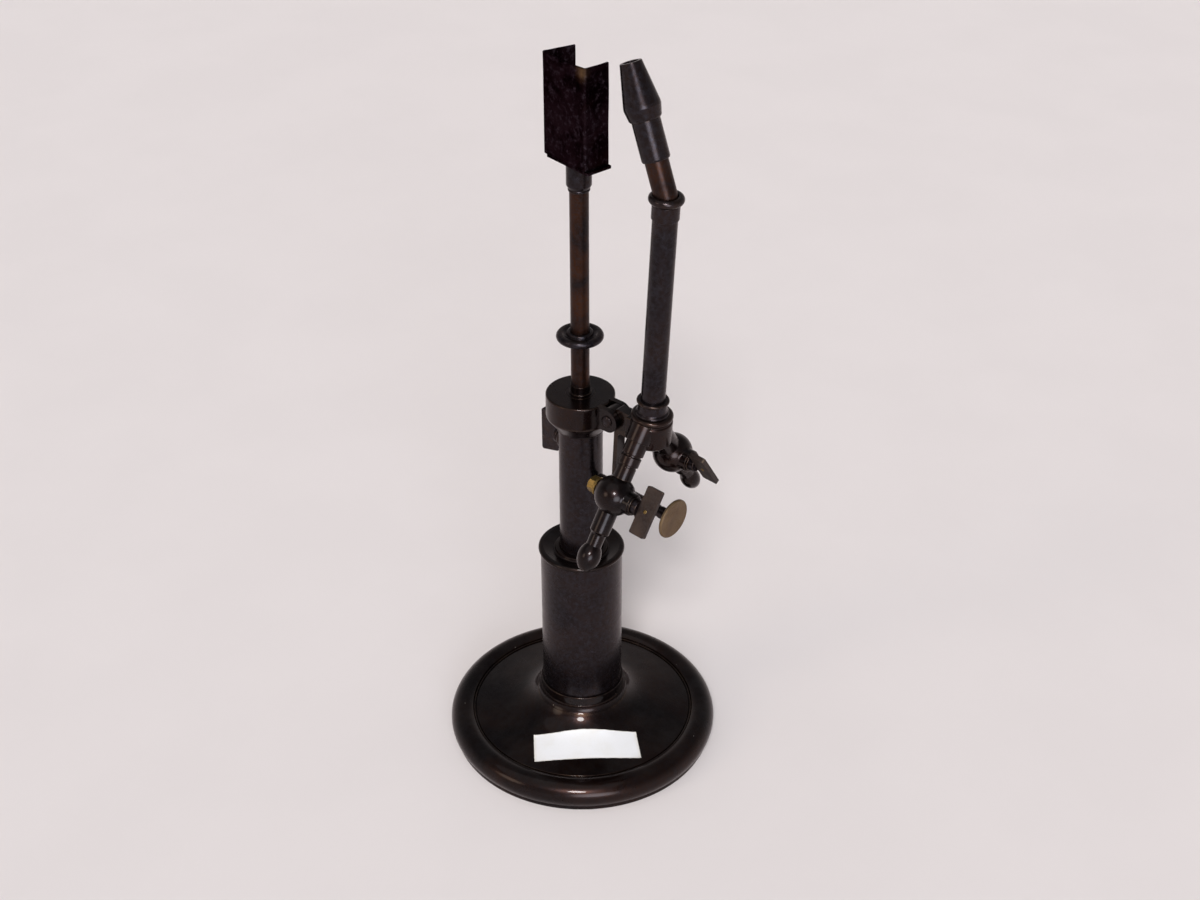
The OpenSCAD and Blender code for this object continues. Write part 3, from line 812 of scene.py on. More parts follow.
def makeFoot(sizes):
    rim = sizes["rimRadius"]
    hub = sizes["hubRadius"]
    bolt = sizes["boltRadius"]
    well = sizes["wellRadius"]
    steps = sizes["coneSteps"]
    coneEnd = valleyRadius - sizes["grooveIn"]
    grooveFloor = valleyHeight - sizes["grooveDeep"]
    corners = [(bolt, footTop)]
    for k in range(steps + 1):
        radius = sizes["coneRadius"] + (coneEnd - sizes["coneRadius"]) * k / steps
        corners.append((radius, footHeight(radius), 0.3 if k == steps else 0))
    corners += [(coneEnd + 0.2, grooveFloor, 0.15), (coneEnd + 0.65, grooveFloor, 0.15)]
    corners += arc(valleyRadius + 0.45, valleyHeight - 0.15, sizes["beadRadius"], 190, 20, 20)
    corners += [(valleyRadius + 1.1, valleyHeight + 0.35, 0.1)]
    corners += arc(rimCentre, rim, rim, 127, -42, 4)
    corners += [(sizes["restRadius"], 0, 0.6), (rimCentre - 1, 0, 0.3)]
    corners += arc(rimCentre, rim, rim, -98, -193, 6)
    corners += [(well, hollowHeight(well), 0.5), (hub, hollowHeight(hub), 1.5)]
    corners += [(hub, sizes["hubHeight"], 0.6), (bolt, sizes["hubHeight"])]
    return lathed("footCasting", "foot", corners, standing, steps=160)


makeFoot(footSizes)

# Slim collar round the foot of the pillar, with a cove and a fine groove

collarSizes = {
    "proud": 1.1,
    "cove": 6.3,
    "coveHeight": 4.5,
    "groove": 4.6,
    "grooveRadius": 0.35,
}


def makeFootCollar(sizes):
    pillar = radiusOf("pillar_tube")
    inner = pillar + seatedFit
    outer = pillar + sizes["proud"]
    low, high = spanOf("foot_ring")
    cove = sizes["cove"]
    groove = low + sizes["groove"]
    start = 180 + math.degrees(math.asin(sizes["coveHeight"] / cove)) - 1
    corners = [(inner, low), (outer + cove * (1 + math.cos(math.radians(start))), low)]
    corners += arc(outer + cove, low + sizes["coveHeight"], cove, start, 184, 5)
    corners += arc(outer + 0.05, groove, sizes["grooveRadius"], 250, 110, 20)
    corners += [(outer, groove + 0.55, 0.2), (outer, high, 1.0), (inner, high)]
    return lathed("footCollar", "foot_ring", corners, standing, steps=128)


makeFootCollar(collarSizes)

# Pillar and the guide with the lip at its top

pillarSizes = {
    "wall": 1.5,
    "lipRadius": 1.3,
    "guideDrop": 11.0,
    "dishWidth": 3.0,
    "dishDepth": 2.0,
}


def makePillar(sizes):
    radius = radiusOf("pillar_tube")
    low, high = spanOf("pillar_tube")
    bore = radius - sizes["wall"]
    tube = [(radius, low), (radius, high, 0.2), (bore, high), (bore, low)]
    lathed("pillarTube", "pillar_tube", tube, standing, steps=128)
    guide = radiusOf("column_tube") + runningFit
    guideLow = high - sizes["guideDrop"]
    lip = sizes["lipRadius"]
    lipCentre = radiusOf("pillar_collar") - lip
    top = high + 2 * lip
    corners = [(guide, guideLow), (bore, guideLow), (bore, high)]
    corners += arc(lipCentre, high + lip, lip, -90, 90, 10)
    corners += [(lipCentre - lip, top, 0.5), (guide + sizes["dishWidth"], top - sizes["dishDepth"], 1.0)]
    corners += [(guide + 2.4, top - 0.3, 0.5), (guide + 0.6, top, 0.3), (guide, top - 0.3)]
    return lathed("pillarLip", "pillar_collar", corners, standing, steps=128)


makePillar(pillarSizes)

# Blank paper label, pasted on the foot and lifting a little at its corners

labelSizes = {
    "radius": 40.0,
    "turn": -46.1,
    "width": 57.0,
    "depth": 18.0,
    "skew": 1.8,
    "thickness": 0.22,
    "clear": 0.03,
    "lift": 0.55,
    "ragged": 0.15,
    "bubble": 0.06,
    "across": 64,
    "along": 24,
}


def makeLabel(sizes):
    place = turnedBy(sizes["turn"], "Z")
    across = sizes["across"]
    along = sizes["along"]
    vertices = []
    rubbed = []
    for layer in (0, 1):
        for j in range(along + 1):
            for i in range(across + 1):
                u = i / across * 2 - 1
                v = j / along * 2 - 1
                ragged = sizes["ragged"] * noise.noise(Vector((u * 9, v * 4, 3)))
                x = sizes["radius"] + v * (sizes["depth"] / 2 + ragged)
                y = u * (sizes["width"] / 2 + ragged) + sizes["skew"] * max(0, u) * (v + 1) / 2
                corner = (abs(u) * abs(v)) ** 10
                bubble = sizes["bubble"] * (1 + noise.noise(Vector((x / 7, y / 7, 0))))
                lift = sizes["clear"] + bubble + sizes["lift"] * corner * (1.2 if u * v > 0 else 0.5)
                height = footHeight(math.hypot(x, y)) + lift + layer * sizes["thickness"]
                vertices.append(place @ Vector((x, y, height)))
                rubbed.append(max(abs(u), abs(v)) ** 24)
    row = across + 1
    layerSize = row * (along + 1)
    faces = []
    for j in range(along):
        for i in range(across):
            first = j * row + i
            under = (first, first + row, first + row + 1, first + 1)
            faces.append(under)
            faces.append(tuple(layerSize + under[k] for k in (0, 3, 2, 1)))
    rim = list(range(across))
    rim += [across + j * row for j in range(along)]
    rim += [along * row + i for i in range(across, 0, -1)]
    rim += [j * row for j in range(along, 0, -1)]
    for k, first in enumerate(rim):
        after = rim[(k + 1) % len(rim)]
        faces.append((first, after, after + layerSize, first + layerSize))
    label = newPiece("blankLabel", vertices, faces)
    store(label, "rubbed", rubbed)
    return dress(label, place, "paper_label")


makeLabel(labelSizes)
print("stand made")

# Column with its cap, the gland on it and the burner's hinge

columnSizes = {
    "wall": 1.3,
    "capFoot": 0.8,
    "capTaper": 8.5,
    "packingRadius": 7.5,
    "packingDrop": 6.5,
    "notchRadius": 6.9,
    "notchHalf": 3.3,
}


def makeColumn(sizes):
    radius = radiusOf("column_tube")
    low, high = spanOf("column_tube")
    bore = radius - sizes["wall"]
    tube = [(radius, low, 0.2), (radius, high), (bore, high), (bore, low, 0.2)]
    lathed("columnTube", "column_tube", tube, standing)
    capLow, capTop = spanOf("column_cap")
    capRadius = radiusOf("column_cap")
    rodBore = radiusOf("lime_rod") + runningFit
    foot = radius + sizes["capFoot"]
    packing = sizes["packingRadius"]
    packingLow = capTop - sizes["packingDrop"]
    corners = [
        (rodBore, high), (radius, high), (radius, capLow), (foot, capLow, 0.25), (foot, capLow + 1.0, 0.4),
        (capRadius, capLow + sizes["capTaper"], 2.5), (capRadius, capTop, 0.9),
        (packing, capTop, 0.2), (packing, packingLow), (rodBore, packingLow),
    ]
    cap = turned("columnCap", corners, standing, steps=128)
    half = sizes["notchHalf"]
    worked(cap, "DIFFERENCE", bar("notch", sizes["notchRadius"], -half, half, hingeAxis, steps=96))
    return dress(cap, standing, "column_cap")


makeColumn(columnSizes)

glandSizes = {
    "radius": 5.1,
    "beadRadius": 5.75,
    "beadHeight": 0.9,
    "flange": 7.45,
}


def makeGland(sizes):
    low, top = spanOf("rod_gland")
    seat = highOf("column_cap").z
    bore = radiusOf("lime_rod") + runningFit
    radius = sizes["radius"]
    flange = sizes["flange"]
    bead = sizes["beadRadius"]
    beadLow = seat + runningFit
    beadTop = seat + sizes["beadHeight"]
    corners = [
        (bore, low), (flange, low), (flange, beadLow, 0.15), (bead, beadLow),
        (bead, beadTop, 0.4), (radius, beadTop, 0.1), (radius, top, 0.5), (bore, top, 0.1),
    ]
    return lathed("rodGland", "rod_gland", corners, standing, steps=72)


makeGland(glandSizes)

hingeSizes = {
    "lugRadius": 6.2,
    "lugNear": 3.3,
    "lugFar": 6.2,
    "rootX": 16.4,
    "pinRadius": 2.0,
    "headRadius": 3.1,
    "headHeight": 1.2,
    "crownRadius": 2.2,
}


def makeHinge(sizes):
    radius = sizes["lugRadius"]
    root = sizes["rootX"]
    near = sizes["lugNear"]
    far = sizes["lugFar"]
    outline = [(root, hingeSpot.z - radius), *arc(hingeSpot.x, hingeSpot.z, radius, -90, 90, 6)]
    outline += [(root, hingeSpot.z + radius)]
    ears = []
    for edge in (-near, far):
        place = Matrix.Translation((0, edge, 0)) @ turnedBy(90, "X")
        ears.append(plate("ear", outline, far - near, place, bevel=0.7, inset=1.1))
    dress(together("hingeLugs", ears), hingeAxis, "hinge_lugs")
    head = sizes["headRadius"]
    end = far + sizes["headHeight"]
    side = [(sizes["crownRadius"], far + 1.05, 0.8), (head, far + 0.5, 0.3), (head, far + seatedFit)]
    side += [(sizes["pinRadius"], far + seatedFit)]
    corners = [(0, end), *side, *[(c[0], -c[1], *c[2:]) for c in reversed(side)], (0, -end)]
    return lathed("hingePin", "hinge_pin", corners, hingeAxis, closed=False, steps=48)


makeHinge(hingeSizes)

# Rod clamp behind the column: a boss on the tube, a screw and its upright wing

clampSizes = {
    "boreRadius": 3.05,
    "bossRadius": 4.6,
    "footRadius": 5.8,
    "footFrom": 9.5,
    "footTo": 11.6,
    "wingCorner": 1.2,
    "wingSlope": 3.0,
    "hubRadius": 4.4,
    "hubLength": 3.2,
}
clampAxis = Matrix.Translation((0, 0, jointSpot("clamp_turn").z)) @ turnedBy(-90, "Y")


def makeClamp(sizes):
    bore = sizes["boreRadius"]
    boss = sizes["bossRadius"]
    foot = sizes["footRadius"]
    start = sizes["footFrom"]
    end = -lowOf("clamp_boss").x
    corners = [(bore, start), (foot, start), (foot, sizes["footTo"], 0.3)]
    corners += [(boss, sizes["footTo"] + 1, 0.8), (boss, end, 0.4), (bore, end)]
    return lathed("clampBoss", "clamp_boss", corners, clampAxis, steps=64)


def makeWing(sizes):
    low = lowOf("clamp_wing")
    high = highOf("clamp_wing")
    corner = sizes["wingCorner"]
    slope = sizes["wingSlope"]
    outline = [(low.x, low.z, corner), (high.x, low.z + slope, 2.0)]
    outline += [(high.x, high.z - slope, 2.0), (low.x, high.z, corner)]
    place = Matrix.Translation((0, high.y, 0)) @ turnedBy(90, "X")
    wing = plate("clampWing", outline, high.y - low.y, place, bevel=0.6, inset=1.2)
    hub = sizes["hubRadius"]
    near = -high.x - seatedFit
    far = -high.x + sizes["hubLength"]
    corners = [(0, near), (hub, near, 0.3), (hub, -high.x + 1.6, 0.4), (2.4, far, 0.8), (0, far + 0.6)]
    worked(wing, "UNION", turned("hub", corners, clampAxis, closed=False, steps=48))
    return dress(wing, clampAxis, "clamp_wing")


makeClamp(clampSizes)
makeWing(clampSizes)
print("column made")

# Lime rod with its finger disc, ferrule and the bent sheet holder

rodSizes = {
    "journalRadius": 3.5,
    "screwBore": 1.5,
    "screwDepth": 8.2,
    "discEdge": 1.95,
    "discHub": 6.2,
    "discDish": 0.9,
}


def makeRod(sizes):
    radius = radiusOf("lime_rod")
    low, high = spanOf("lime_rod")
    journal = sizes["journalRadius"]
    screw = sizes["screwBore"]
    screwEnd = low + sizes["screwDepth"]
    shoulder = highOf("rod_guide").z + 0.1
    corners = [
        (screw, low), (journal, low, 0.2), (journal, shoulder), (radius, shoulder, 0.4),
        (radius, high, 0.3), (0, high), (0, screwEnd), (screw, screwEnd),
    ]
    return lathed("limeRod", "lime_rod", corners, standing, steps=72)


def makeFingerDisc(sizes):
    low = lowOf("finger_disc").z
    radius = radiusOf("finger_disc")
    bore = radiusOf("lime_rod") + seatedFit
    edge = sizes["discEdge"]
    hub = sizes["discHub"]
    top = low + 2 * edge
    dish = top - sizes["discDish"]
    corners = [(bore, low, 0.1), (radius - edge, low)]
    corners += arc(radius - edge, low + edge, edge, -80, 80, 8)
    corners += [(radius - edge - 1, top, 0.6), (hub + 1.5, dish, 0.8)]
    corners += [(hub + 0.7, dish, 0.3), (hub + 0.3, top + 0.6, 0.4)]
    corners += [(hub - 0.6, top + 0.95, 0.4), (bore, top + 0.7, 0.1)]
    return lathed("fingerDisc", "finger_disc", corners, standing, steps=128)


makeRod(rodSizes)
makeFingerDisc(rodSizes)

ferruleSizes = {
    "throat": 5.05,
    "taper": 2.3,
    "screwRadius": 2.05,
    "bead": 0.35,
}


def makeFerrule(sizes):
    low, high = spanOf("rod_ferrule")
    radius = radiusOf("rod_ferrule")
    bore = radiusOf("lime_rod") + seatedFit
    rodEnd = highOf("lime_rod").z
    throat = sizes["throat"]
    bead = throat + sizes["bead"]
    screw = sizes["screwRadius"]
    corners = [
        (bore, low - 0.9), (bead, low - 0.7, 0.3), (bead, low + 0.1, 0.3),
        (throat + 0.1, low + 0.4, 0.2), (radius, low + sizes["taper"], 0.7), (radius, high, 0.35),
        (screw, high), (screw, rodEnd), (bore, rodEnd),
    ]
    return lathed("rodFerrule", "rod_ferrule", corners, standing, steps=72)


makeFerrule(ferruleSizes)

holderSizes = {
    "turn": -8.6,
    "webWidth": 31.0,
    "webY": -9.3,
    "longLeg": 17.6,
    "shortLeg": 14.7,
    "toeIn": 10.3,
    "sheet": 1.1,
    "edge": 0.25,
    "rows": 20,
    "buckle": 0.3,
    "raggedTop": 0.35,
    "rubbedX": 13.2,
    "rubbedRadius": 2.1,
    "rubbedUp": 0.955,
    "rubbedHeight": 0.055,
    "floorIn": 2.5,
    "floorOver": 2.0,
    "floorDepth": 14.8,
}
holderPlace = turnedBy(holderSizes["turn"], "Z")


# The channel's outline in plan: long leg toed in at the left, web, short leg at the right
def channelOutline(sizes):
    half = sizes["webWidth"] / 2
    front = sizes["webY"]
    sheet = sizes["sheet"]
    toe = math.radians(sizes["toeIn"])
    along = Vector((math.sin(toe), math.cos(toe)))
    across = Vector((math.cos(toe), -math.sin(toe)))
    outerLeft = Vector((-half, front))
    farOuter = outerLeft + along * sizes["longLeg"]
    farInner = farOuter + across * sheet
    innerLeft = outerLeft + across * sheet / math.cos(toe) + along * sheet * (1 + math.tan(toe))
    return [
        (*outerLeft, 1.5), (half, front, 1.5), (half, front + sizes["shortLeg"], 0.3),
        (half - sheet, front + sizes["shortLeg"], 0.3), (half - sheet, front + sheet, 0.5),
        (*innerLeft, 0.5), (*farInner, 0.3), (*farOuter, 0.3),
    ]


def makeHolder(sizes):
    low, high = spanOf("lime_holder")
    tall = high - low
    front = sizes["webY"]
    edge = sizes["edge"]
    rows = sizes["rows"]
    outline = divided(rounded(channelOutline(sizes)), True, 2.5)
    levels = [(0, edge), (edge, 0)]
    levels += [(0.8 + (tall - 1.6) * k / rows, 0) for k in range(rows + 1)]
    levels += [(tall - edge, 0), (tall, edge)]
    count = len(outline)
    vertices = []
    rubbed = []
    for height, inset in levels:
        share = height / tall
        up = (share - sizes["rubbedUp"]) / sizes["rubbedHeight"]
        for i, point in enumerate(outline):
            side = (outline[(i + 1) % count] - outline[i - 1]).normalized()
            spot = point - Vector((side.y, -side.x)) * inset
            wave = Vector((spot.x / 11, spot.y / 11, height / 17))
            sway = Vector((noise.noise(wave), noise.noise(wave + Vector((7, 3, 1)))))
            spot = spot + sway * sizes["buckle"] * (0.2 + share)
            tip = sizes["raggedTop"] * noise.noise(Vector((spot.x / 6, spot.y / 6, 5))) * share ** 6
            beside = Vector((spot.x - sizes["rubbedX"], spot.y - front)).length / sizes["rubbedRadius"]
            rubbed.append(math.exp(-beside ** 2 - up ** 2))
            vertices.append(holderPlace @ Vector((spot.x, spot.y, low + height + tip)))
    faces = skinBetween(len(levels), count)
    faces.append(tuple(reversed(range(count))))
    faces.append(tuple(range((len(levels) - 1) * count, len(levels) * count)))
    holder = newPiece("limeHolder", vertices, faces)
    store(holder, "rubbed", rubbed)
    return dress(holder, holderPlace, "lime_holder")


def makeHolderFloor(sizes):
    left = sizes["floorIn"] - sizes["webWidth"] / 2
    right = sizes["webWidth"] / 2 + sizes["floorOver"]
    front = sizes["webY"]
    back = front + sizes["floorDepth"]
    outline = [(left, front, 1.0), (right, front, 0.8), (right, back, 0.8), (left, back, 1.0)]
    low, high = spanOf("holder_floor")
    under = holderPlace @ Matrix.Translation((0, 0, low))
    sheetFloor = plate("holderFloor", outline, high - low, under, bevel=0.25)
    return dress(sheetFloor, holderPlace, "holder_floor")


makeHolder(holderSizes)
makeHolderFloor(holderSizes)

screwSizes = {
    "shankRadius": 2.0,
    "crownRadius": 1.5,
    "slotTurn": 25.0,
    "slotHalf": 0.35,
    "slotDepth": 0.7,
}


def makeHolderScrew(sizes):
    low, high = spanOf("holder_screw")
    radius = radiusOf("holder_screw")
    seat = highOf("holder_floor").z
    shank = sizes["shankRadius"]
    half = sizes["slotHalf"]
    corners = [(0, low), (shank, low), (shank, seat), (radius, seat + seatedFit)]
    corners += [(radius, high - 0.3, 0.3), (sizes["crownRadius"], high, 0.6), (0, high)]
    screw = turned("holderScrew", corners, standing, closed=False, steps=48)
    slotLow = (-5, -half, high - sizes["slotDepth"])
    slot = block("slot", slotLow, (5, half, high + 1), turnedBy(sizes["slotTurn"], "Z"), bevel=0.05)
    worked(screw, "DIFFERENCE", slot)
    return dress(screw, standing, "holder_screw")


makeHolderScrew(screwSizes)
print("rod and holder made")

# Burner: knuckle, tail strip and bridge block, cast in one

carrierSizes = {
    "knuckleRadius": 6.1,
    "knuckleHalf": 3.0,
    "pinBore": 2.05,
    "stripX": 25.6,
    "stripThick": 2.5,
    "armLow": 209.0,
    "armHigh": 223.0,
    "blockX": 34.5,
    "blockHalf": 5.5,
    "blockTop": 223.4,
    "chamberLow": 212.5,
    "screwHeight": 172.7,
    "screwBore": 3.3,
    "bossRadius": 5.0,
    "bossLength": 4.5,
}
screwAxis = leaning @ Matrix.Translation((0, 0, carrierSizes["screwHeight"])) @ turnedBy(90, "Y")


def makeCarrier(sizes):
    half = sizes["knuckleHalf"]
    radius = sizes["knuckleRadius"]
    strip = sizes["stripX"]
    stripFar = strip + sizes["stripThick"]
    stripLow = sizes["screwHeight"] - 2
    end = sizes["blockX"] + 1
    low = sizes["armLow"]
    high = sizes["armHigh"]
    meet = math.degrees(math.acos((strip - hingeSpot.x) / radius))
    outline = [(strip, stripLow, 0.6), (stripFar, stripLow, 0.6), (stripFar, low, 1.6)]
    outline += [(end, low), (end, high), (strip + 0.4, high, 1.2)]
    outline += arc(hingeSpot.x, hingeSpot.z, radius, meet, 360 - meet, 8)
    side = leaning @ Matrix.Translation((0, half, 0)) @ turnedBy(90, "X")
    carrier = plate("burnerCarrier", outline, 2 * half, side, bevel=0.45)
    blockLow = (sizes["blockX"], -sizes["blockHalf"], sizes["chamberLow"])
    blockHigh = (bendSpot.x - 6, sizes["blockHalf"], sizes["blockTop"])
    bridge = block("bridge", blockLow, blockHigh, leaning, bevel=0.45)
    boss = sizes["bossRadius"]
    bossEnd = strip + sizes["bossLength"]
    corners = [(0, strip - 1), (boss, strip - 1, 0.4), (boss, bossEnd, 0.5), (0, bossEnd)]
    worked(carrier, "UNION", bridge, turned("boss", corners, screwAxis, closed=False, steps=64))
    across = leaning @ Matrix.Translation(hingeSpot) @ turnedBy(90, "X")
    pinHole = bar("pinHole", sizes["pinBore"], -20, 20, across)
    screwHole = bar("screwHole", sizes["screwBore"], 20, 36, screwAxis)
    worked(carrier, "DIFFERENCE", pinHole, screwHole)
    return dress(carrier, leaning, "burner_carrier")


makeCarrier(carrierSizes)

# Cocks: X along the plug, Z up the pipe to the chamber

cockSizes = {
    "ballRadius": 10.35,
    "plugRadius": 4.2,
    "neckRadius": 5.75,
    "neckEnd": 12.0,
    "collarRadius": 5.2,
    "collarEnd": 13.2,
    "keyX": (16.0, 25.0),
    "keyRound": 6.0,
    "keyRoundIn": 3.6,
    "keyHalf": 12.6,
    "keyThick": 2.4,
    "pinX": 20.15,
    "pinRadius": 1.15,
    "threadRadius": 2.4,
    "nutX": -15.2,
    "nutRadius": 4.4,
    "domeRadius": 4.6,
    "washerRadius": 4.8,
    "washerX": -11.25,
}
oxygenSizes = {
    "slope": -32.4,
    "bands": [
        (0, 9), (4.9, 9), (4.9, 15.7, 0.2), (4.6, 15.8), (4.6, 16.6), (5.4, 16.8, 0.3), (5.4, 21.2, 0.3),
        (4.7, 21.5), (4.7, 22.2), (5.6, 22.5, 0.3), (5.6, 31), (0, 31),
    ],
    "stubRadius": 5.1,
    "stubLength": 20.0,
    "neckRadius": 3.9,
    "oliveAt": 33.4,
    "oliveRadius": 5.9,
    "oliveHalf": 7.2,
}
gasSizes = {
    "slope": 34.4,
    "bands": [(0, 9), (6.3, 9), (6.3, 26), (0, 26)],
    "stubRadius": 4.7,
    "stubLength": 17.0,
    "neckRadius": 3.7,
    "oliveAt": 30.0,
    "oliveRadius": 5.1,
    "oliveHalf": 7.0,
}
tailTip = 2.9
tailBore = 2.0
tailStart = -8.0


def cockPlace(gas, slope):
    spot = leaning.inverted() @ jointSpot(gas + "_key_turn")
    return leaning @ Matrix.Translation(spot) @ turnedBy(slope, "X")


def makeCockBody(gas, along, sizes):
    ball = sizes["ballRadius"]
    neck = sizes["neckRadius"]
    neckEnd = sizes["neckEnd"]
    collar = sizes["collarRadius"]
    collarEnd = sizes["collarEnd"]
    bore = sizes["plugRadius"] + runningFit
    backAngle = math.degrees(math.asin(bore / ball)) - 90
    neckAngle = 90 - math.degrees(math.asin(neck / ball))
    corners = arc(0, 0, ball, backAngle, neckAngle - 2, 5)
    corners += [(neck + 0.1, ball * math.sin(math.radians(neckAngle)) + 0.3, 0.5)]
    corners += [(neck, neckEnd, 0.3), (collar, neckEnd + 0.1, 0.1)]
    corners += [(collar, collarEnd, 0.35), (bore, collarEnd)]
    return lathed(gas + "CockBody", gas + "_cock_body", corners, along, longest=3)


def makeBranch(gas, place, bands):
    return lathed(gas + "Branch", gas + "_branch", bands, place, closed=False, steps=72)


def makeHoseTail(gas, place, sizes):
    olive = sizes["oliveRadius"]
    half = sizes["oliveHalf"]
    neck = sizes["neckRadius"]
    stub = sizes["stubRadius"]
    stubEnd = -sizes["stubLength"]
    end = -sizes["oliveAt"] - half
    bulge = olive - tailTip
    radius = (half ** 2 + bulge ** 2) / (2 * bulge)
    centre = olive - radius
    first = math.degrees(math.acos((neck - centre) / radius))
    last = -math.degrees(math.asin(half / radius))
    corners = [(tailBore, tailStart), (stub, tailStart), (stub, stubEnd, 0.5), (neck, stubEnd - 1.2, 1.0)]
    corners += arc(centre, -sizes["oliveAt"], radius, first, last, 5)
    corners += [(tailTip - 0.3, end - 0.15, 0.2), (tailBore, end, 0.1)]
    return lathed(gas + "HoseTail", gas + "_hose_tail", corners, place, steps=72, longest=3)


def makePlug(gas, along, sizes):
    thread = sizes["threadRadius"]
    plug = sizes["plugRadius"]
    threadEnd = sizes["nutX"] - 1.4
    back = -sizes["ballRadius"] + 0.3
    keyEnd = sizes["keyX"][0] + seatedFit
    corners = [(0, threadEnd), (thread, threadEnd, 0.6), (thread, back)]
    corners += [(plug, back), (plug, keyEnd, 0.4), (0, keyEnd)]
    lathed(gas + "Plug", gas + "_cock_plug", corners, along, closed=False, steps=64)
    washer = sizes["washerRadius"]
    low = sizes["washerX"]
    corners = [(thread, low, 0.1), (washer, low, 0.25), (washer, back, 0.1), (thread, back)]
    return lathed(gas + "Washer", gas + "_cock_washer", corners, along, steps=64)


def makeNut(gas, along, sizes):
    radius = sizes["nutRadius"]
    dome = sizes["domeRadius"]
    low = sizes["nutX"]
    high = sizes["washerX"]
    angles = [math.radians(60 * k) for k in range(6)]
    outline = [(radius * math.cos(angle), radius * math.sin(angle), 0.25) for angle in angles]
    nut = plate(gas + "Nut", outline, high - low, along @ Matrix.Translation((0, 0, low)), bevel=0.2)
    corners = [(0, low), (dome - 0.9, low, 0.3), (dome, low + 0.6), (dome, high - 0.3)]
    corners += [(dome - 0.5, high, 0.2), (0, high)]
    worked(nut, "INTERSECT", turned("dome", corners, along, closed=False, steps=64))
    return dress(nut, along, gas + "_cock_nut")


def makeKey(gas, place, sizes):
    near, far = sizes["keyX"]
    half = sizes["keyHalf"]
    hollow = sizes["keyRound"]
    face = sizes["keyThick"] / 2
    middle = near + sizes["keyRoundIn"]
    spread = math.degrees(math.acos((middle - near) / hollow))
    outline = [(far, -half, 0.9), (far, half, 0.9), (near, half, 0.9)]
    outline += arc(middle, 0, hollow, 180 - spread, 180 + spread, 7)
    outline += [(near, -half, 0.9)]
    flat = place @ Matrix.Translation((0, face, 0)) @ turnedBy(90, "X")
    key = plate(gas + "Key", outline, sizes["keyThick"], flat, bevel=0.35, inset=1.0)
    dress(key, flat, gas + "_cock_key")
    across = place @ Matrix.Translation((sizes["pinX"], 0, 0)) @ turnedBy(90, "X")
    pin = sizes["pinRadius"]
    corners = [(0, -face - 0.42), (pin, -face - 0.1, 0.5), (pin, face + 0.1, 0.5), (0, face + 0.42)]
    return lathed(gas + "KeyPin", gas + "_key_pin", corners, across, closed=False, steps=32)


for gas, sizes in (("oxygen", oxygenSizes), ("gas", gasSizes)):
    place = cockPlace(gas, sizes["slope"])
    along = place @ turnedBy(90, "Y")
    makeCockBody(gas, along, cockSizes)
    makeBranch(gas, place, sizes["bands"])
    makeHoseTail(gas, place, sizes)
    makePlug(gas, along, cockSizes)
    makeNut(gas, along, cockSizes)
    makeKey(gas, place, cockSizes)
print("cocks made")

# Mixing chamber with its flange, ferrule and burner tube

chamberSizes = {
    "radius": 10.6,
    "high": 229.3,
    "grooveDeep": 0.7,
    "flangeRadius": 1.6,
    "socketRadius": 6.7,
    "socketFrom": 29.2,
    "socketTo": 38.0,
}


def makeChamber(sizes):
    radius = sizes["radius"]
    low = carrierSizes["chamberLow"]
    high = sizes["high"]
    groove = radius - sizes["grooveDeep"]
    bead = sizes["flangeRadius"]
    corners = [(0, low), (radius - 0.8, low, 0.3), (radius, low + 0.8, 0.4), (radius, high - 4.6, 0.3)]
    corners += [(groove, high - 3.9, 0.2), (groove, high - 3.3, 0.1)]
    corners += arc(radius - 1.5, high - bead, bead, -85, 90, 12)
    corners += [(6, high, 0.1), (0, high)]
    chamber = turned("mixingChamber", corners, tubeAxis, closed=False)
    place = cockPlace("oxygen", oxygenSizes["slope"])
    socket = sizes["socketRadius"]
    start = sizes["socketFrom"]
    end = sizes["socketTo"]
    corners = [(0, start), (socket, start, 0.35), (socket, end), (0, end)]
    worked(chamber, "UNION", turned("socket", corners, place, closed=False, steps=72))
    return dress(chamber, tubeAxis, "mixing_chamber")


makeChamber(chamberSizes)

tubeSizes = {
    "radius": 6.1,
    "wall": 1.5,
    "tubeLow": 226.0,
    "tubeTop": 340.0,
    "ferruleTop": 237.4,
    "socketLow": 336.4,
    "socketHigh": 344.0,
    "socketWall": 0.6,
    "spigotRadius": 5.0,
    "spigotLow": 340.4,
}


def makeChamberFerrule(sizes):
    radius = sizes["radius"]
    low = chamberSizes["high"]
    high = sizes["ferruleTop"]
    corners = [(radius, low + seatedFit), (8.6, low + seatedFit, 0.2), (8.25, low + 0.9, 0.4)]
    corners += [(7.4, low + 1.5, 0.8), (7.1, high - 2.1, 0.2)]
    corners += arc(7.2, high - 1, 1.0, -75, 90, 15)
    corners += [(radius, high, 0.1)]
    return lathed("chamberFerrule", "chamber_ferrule", corners, tubeAxis)


def makeBurnerTube(sizes):
    radius = sizes["radius"]
    bore = radius - sizes["wall"]
    low = sizes["tubeLow"]
    high = sizes["tubeTop"]
    corners = [(radius, low), (radius, high), (bore, high), (bore, low)]
    return lathed("burnerTube", "burner_tube", corners, tubeAxis, steps=72, longest=4)


def makeTubeSocket(sizes):
    inner = sizes["radius"] + seatedFit
    outer = sizes["radius"] + sizes["socketWall"]
    spigot = sizes["spigotRadius"] + runningFit
    low = sizes["socketLow"]
    high = sizes["socketHigh"]
    corners = [(inner, low, 0.1), (outer, low, 0.3), (outer, high, 0.3)]
    corners += [(spigot, high, 0.2), (spigot, sizes["tubeTop"]), (inner, sizes["tubeTop"])]
    return lathed("tubeSocket", "tube_socket", corners, tubeAxis, steps=72)


makeChamberFerrule(tubeSizes)
makeBurnerTube(tubeSizes)
makeTubeSocket(tubeSizes)

# Tilt screw: a cut thread and a flat round head

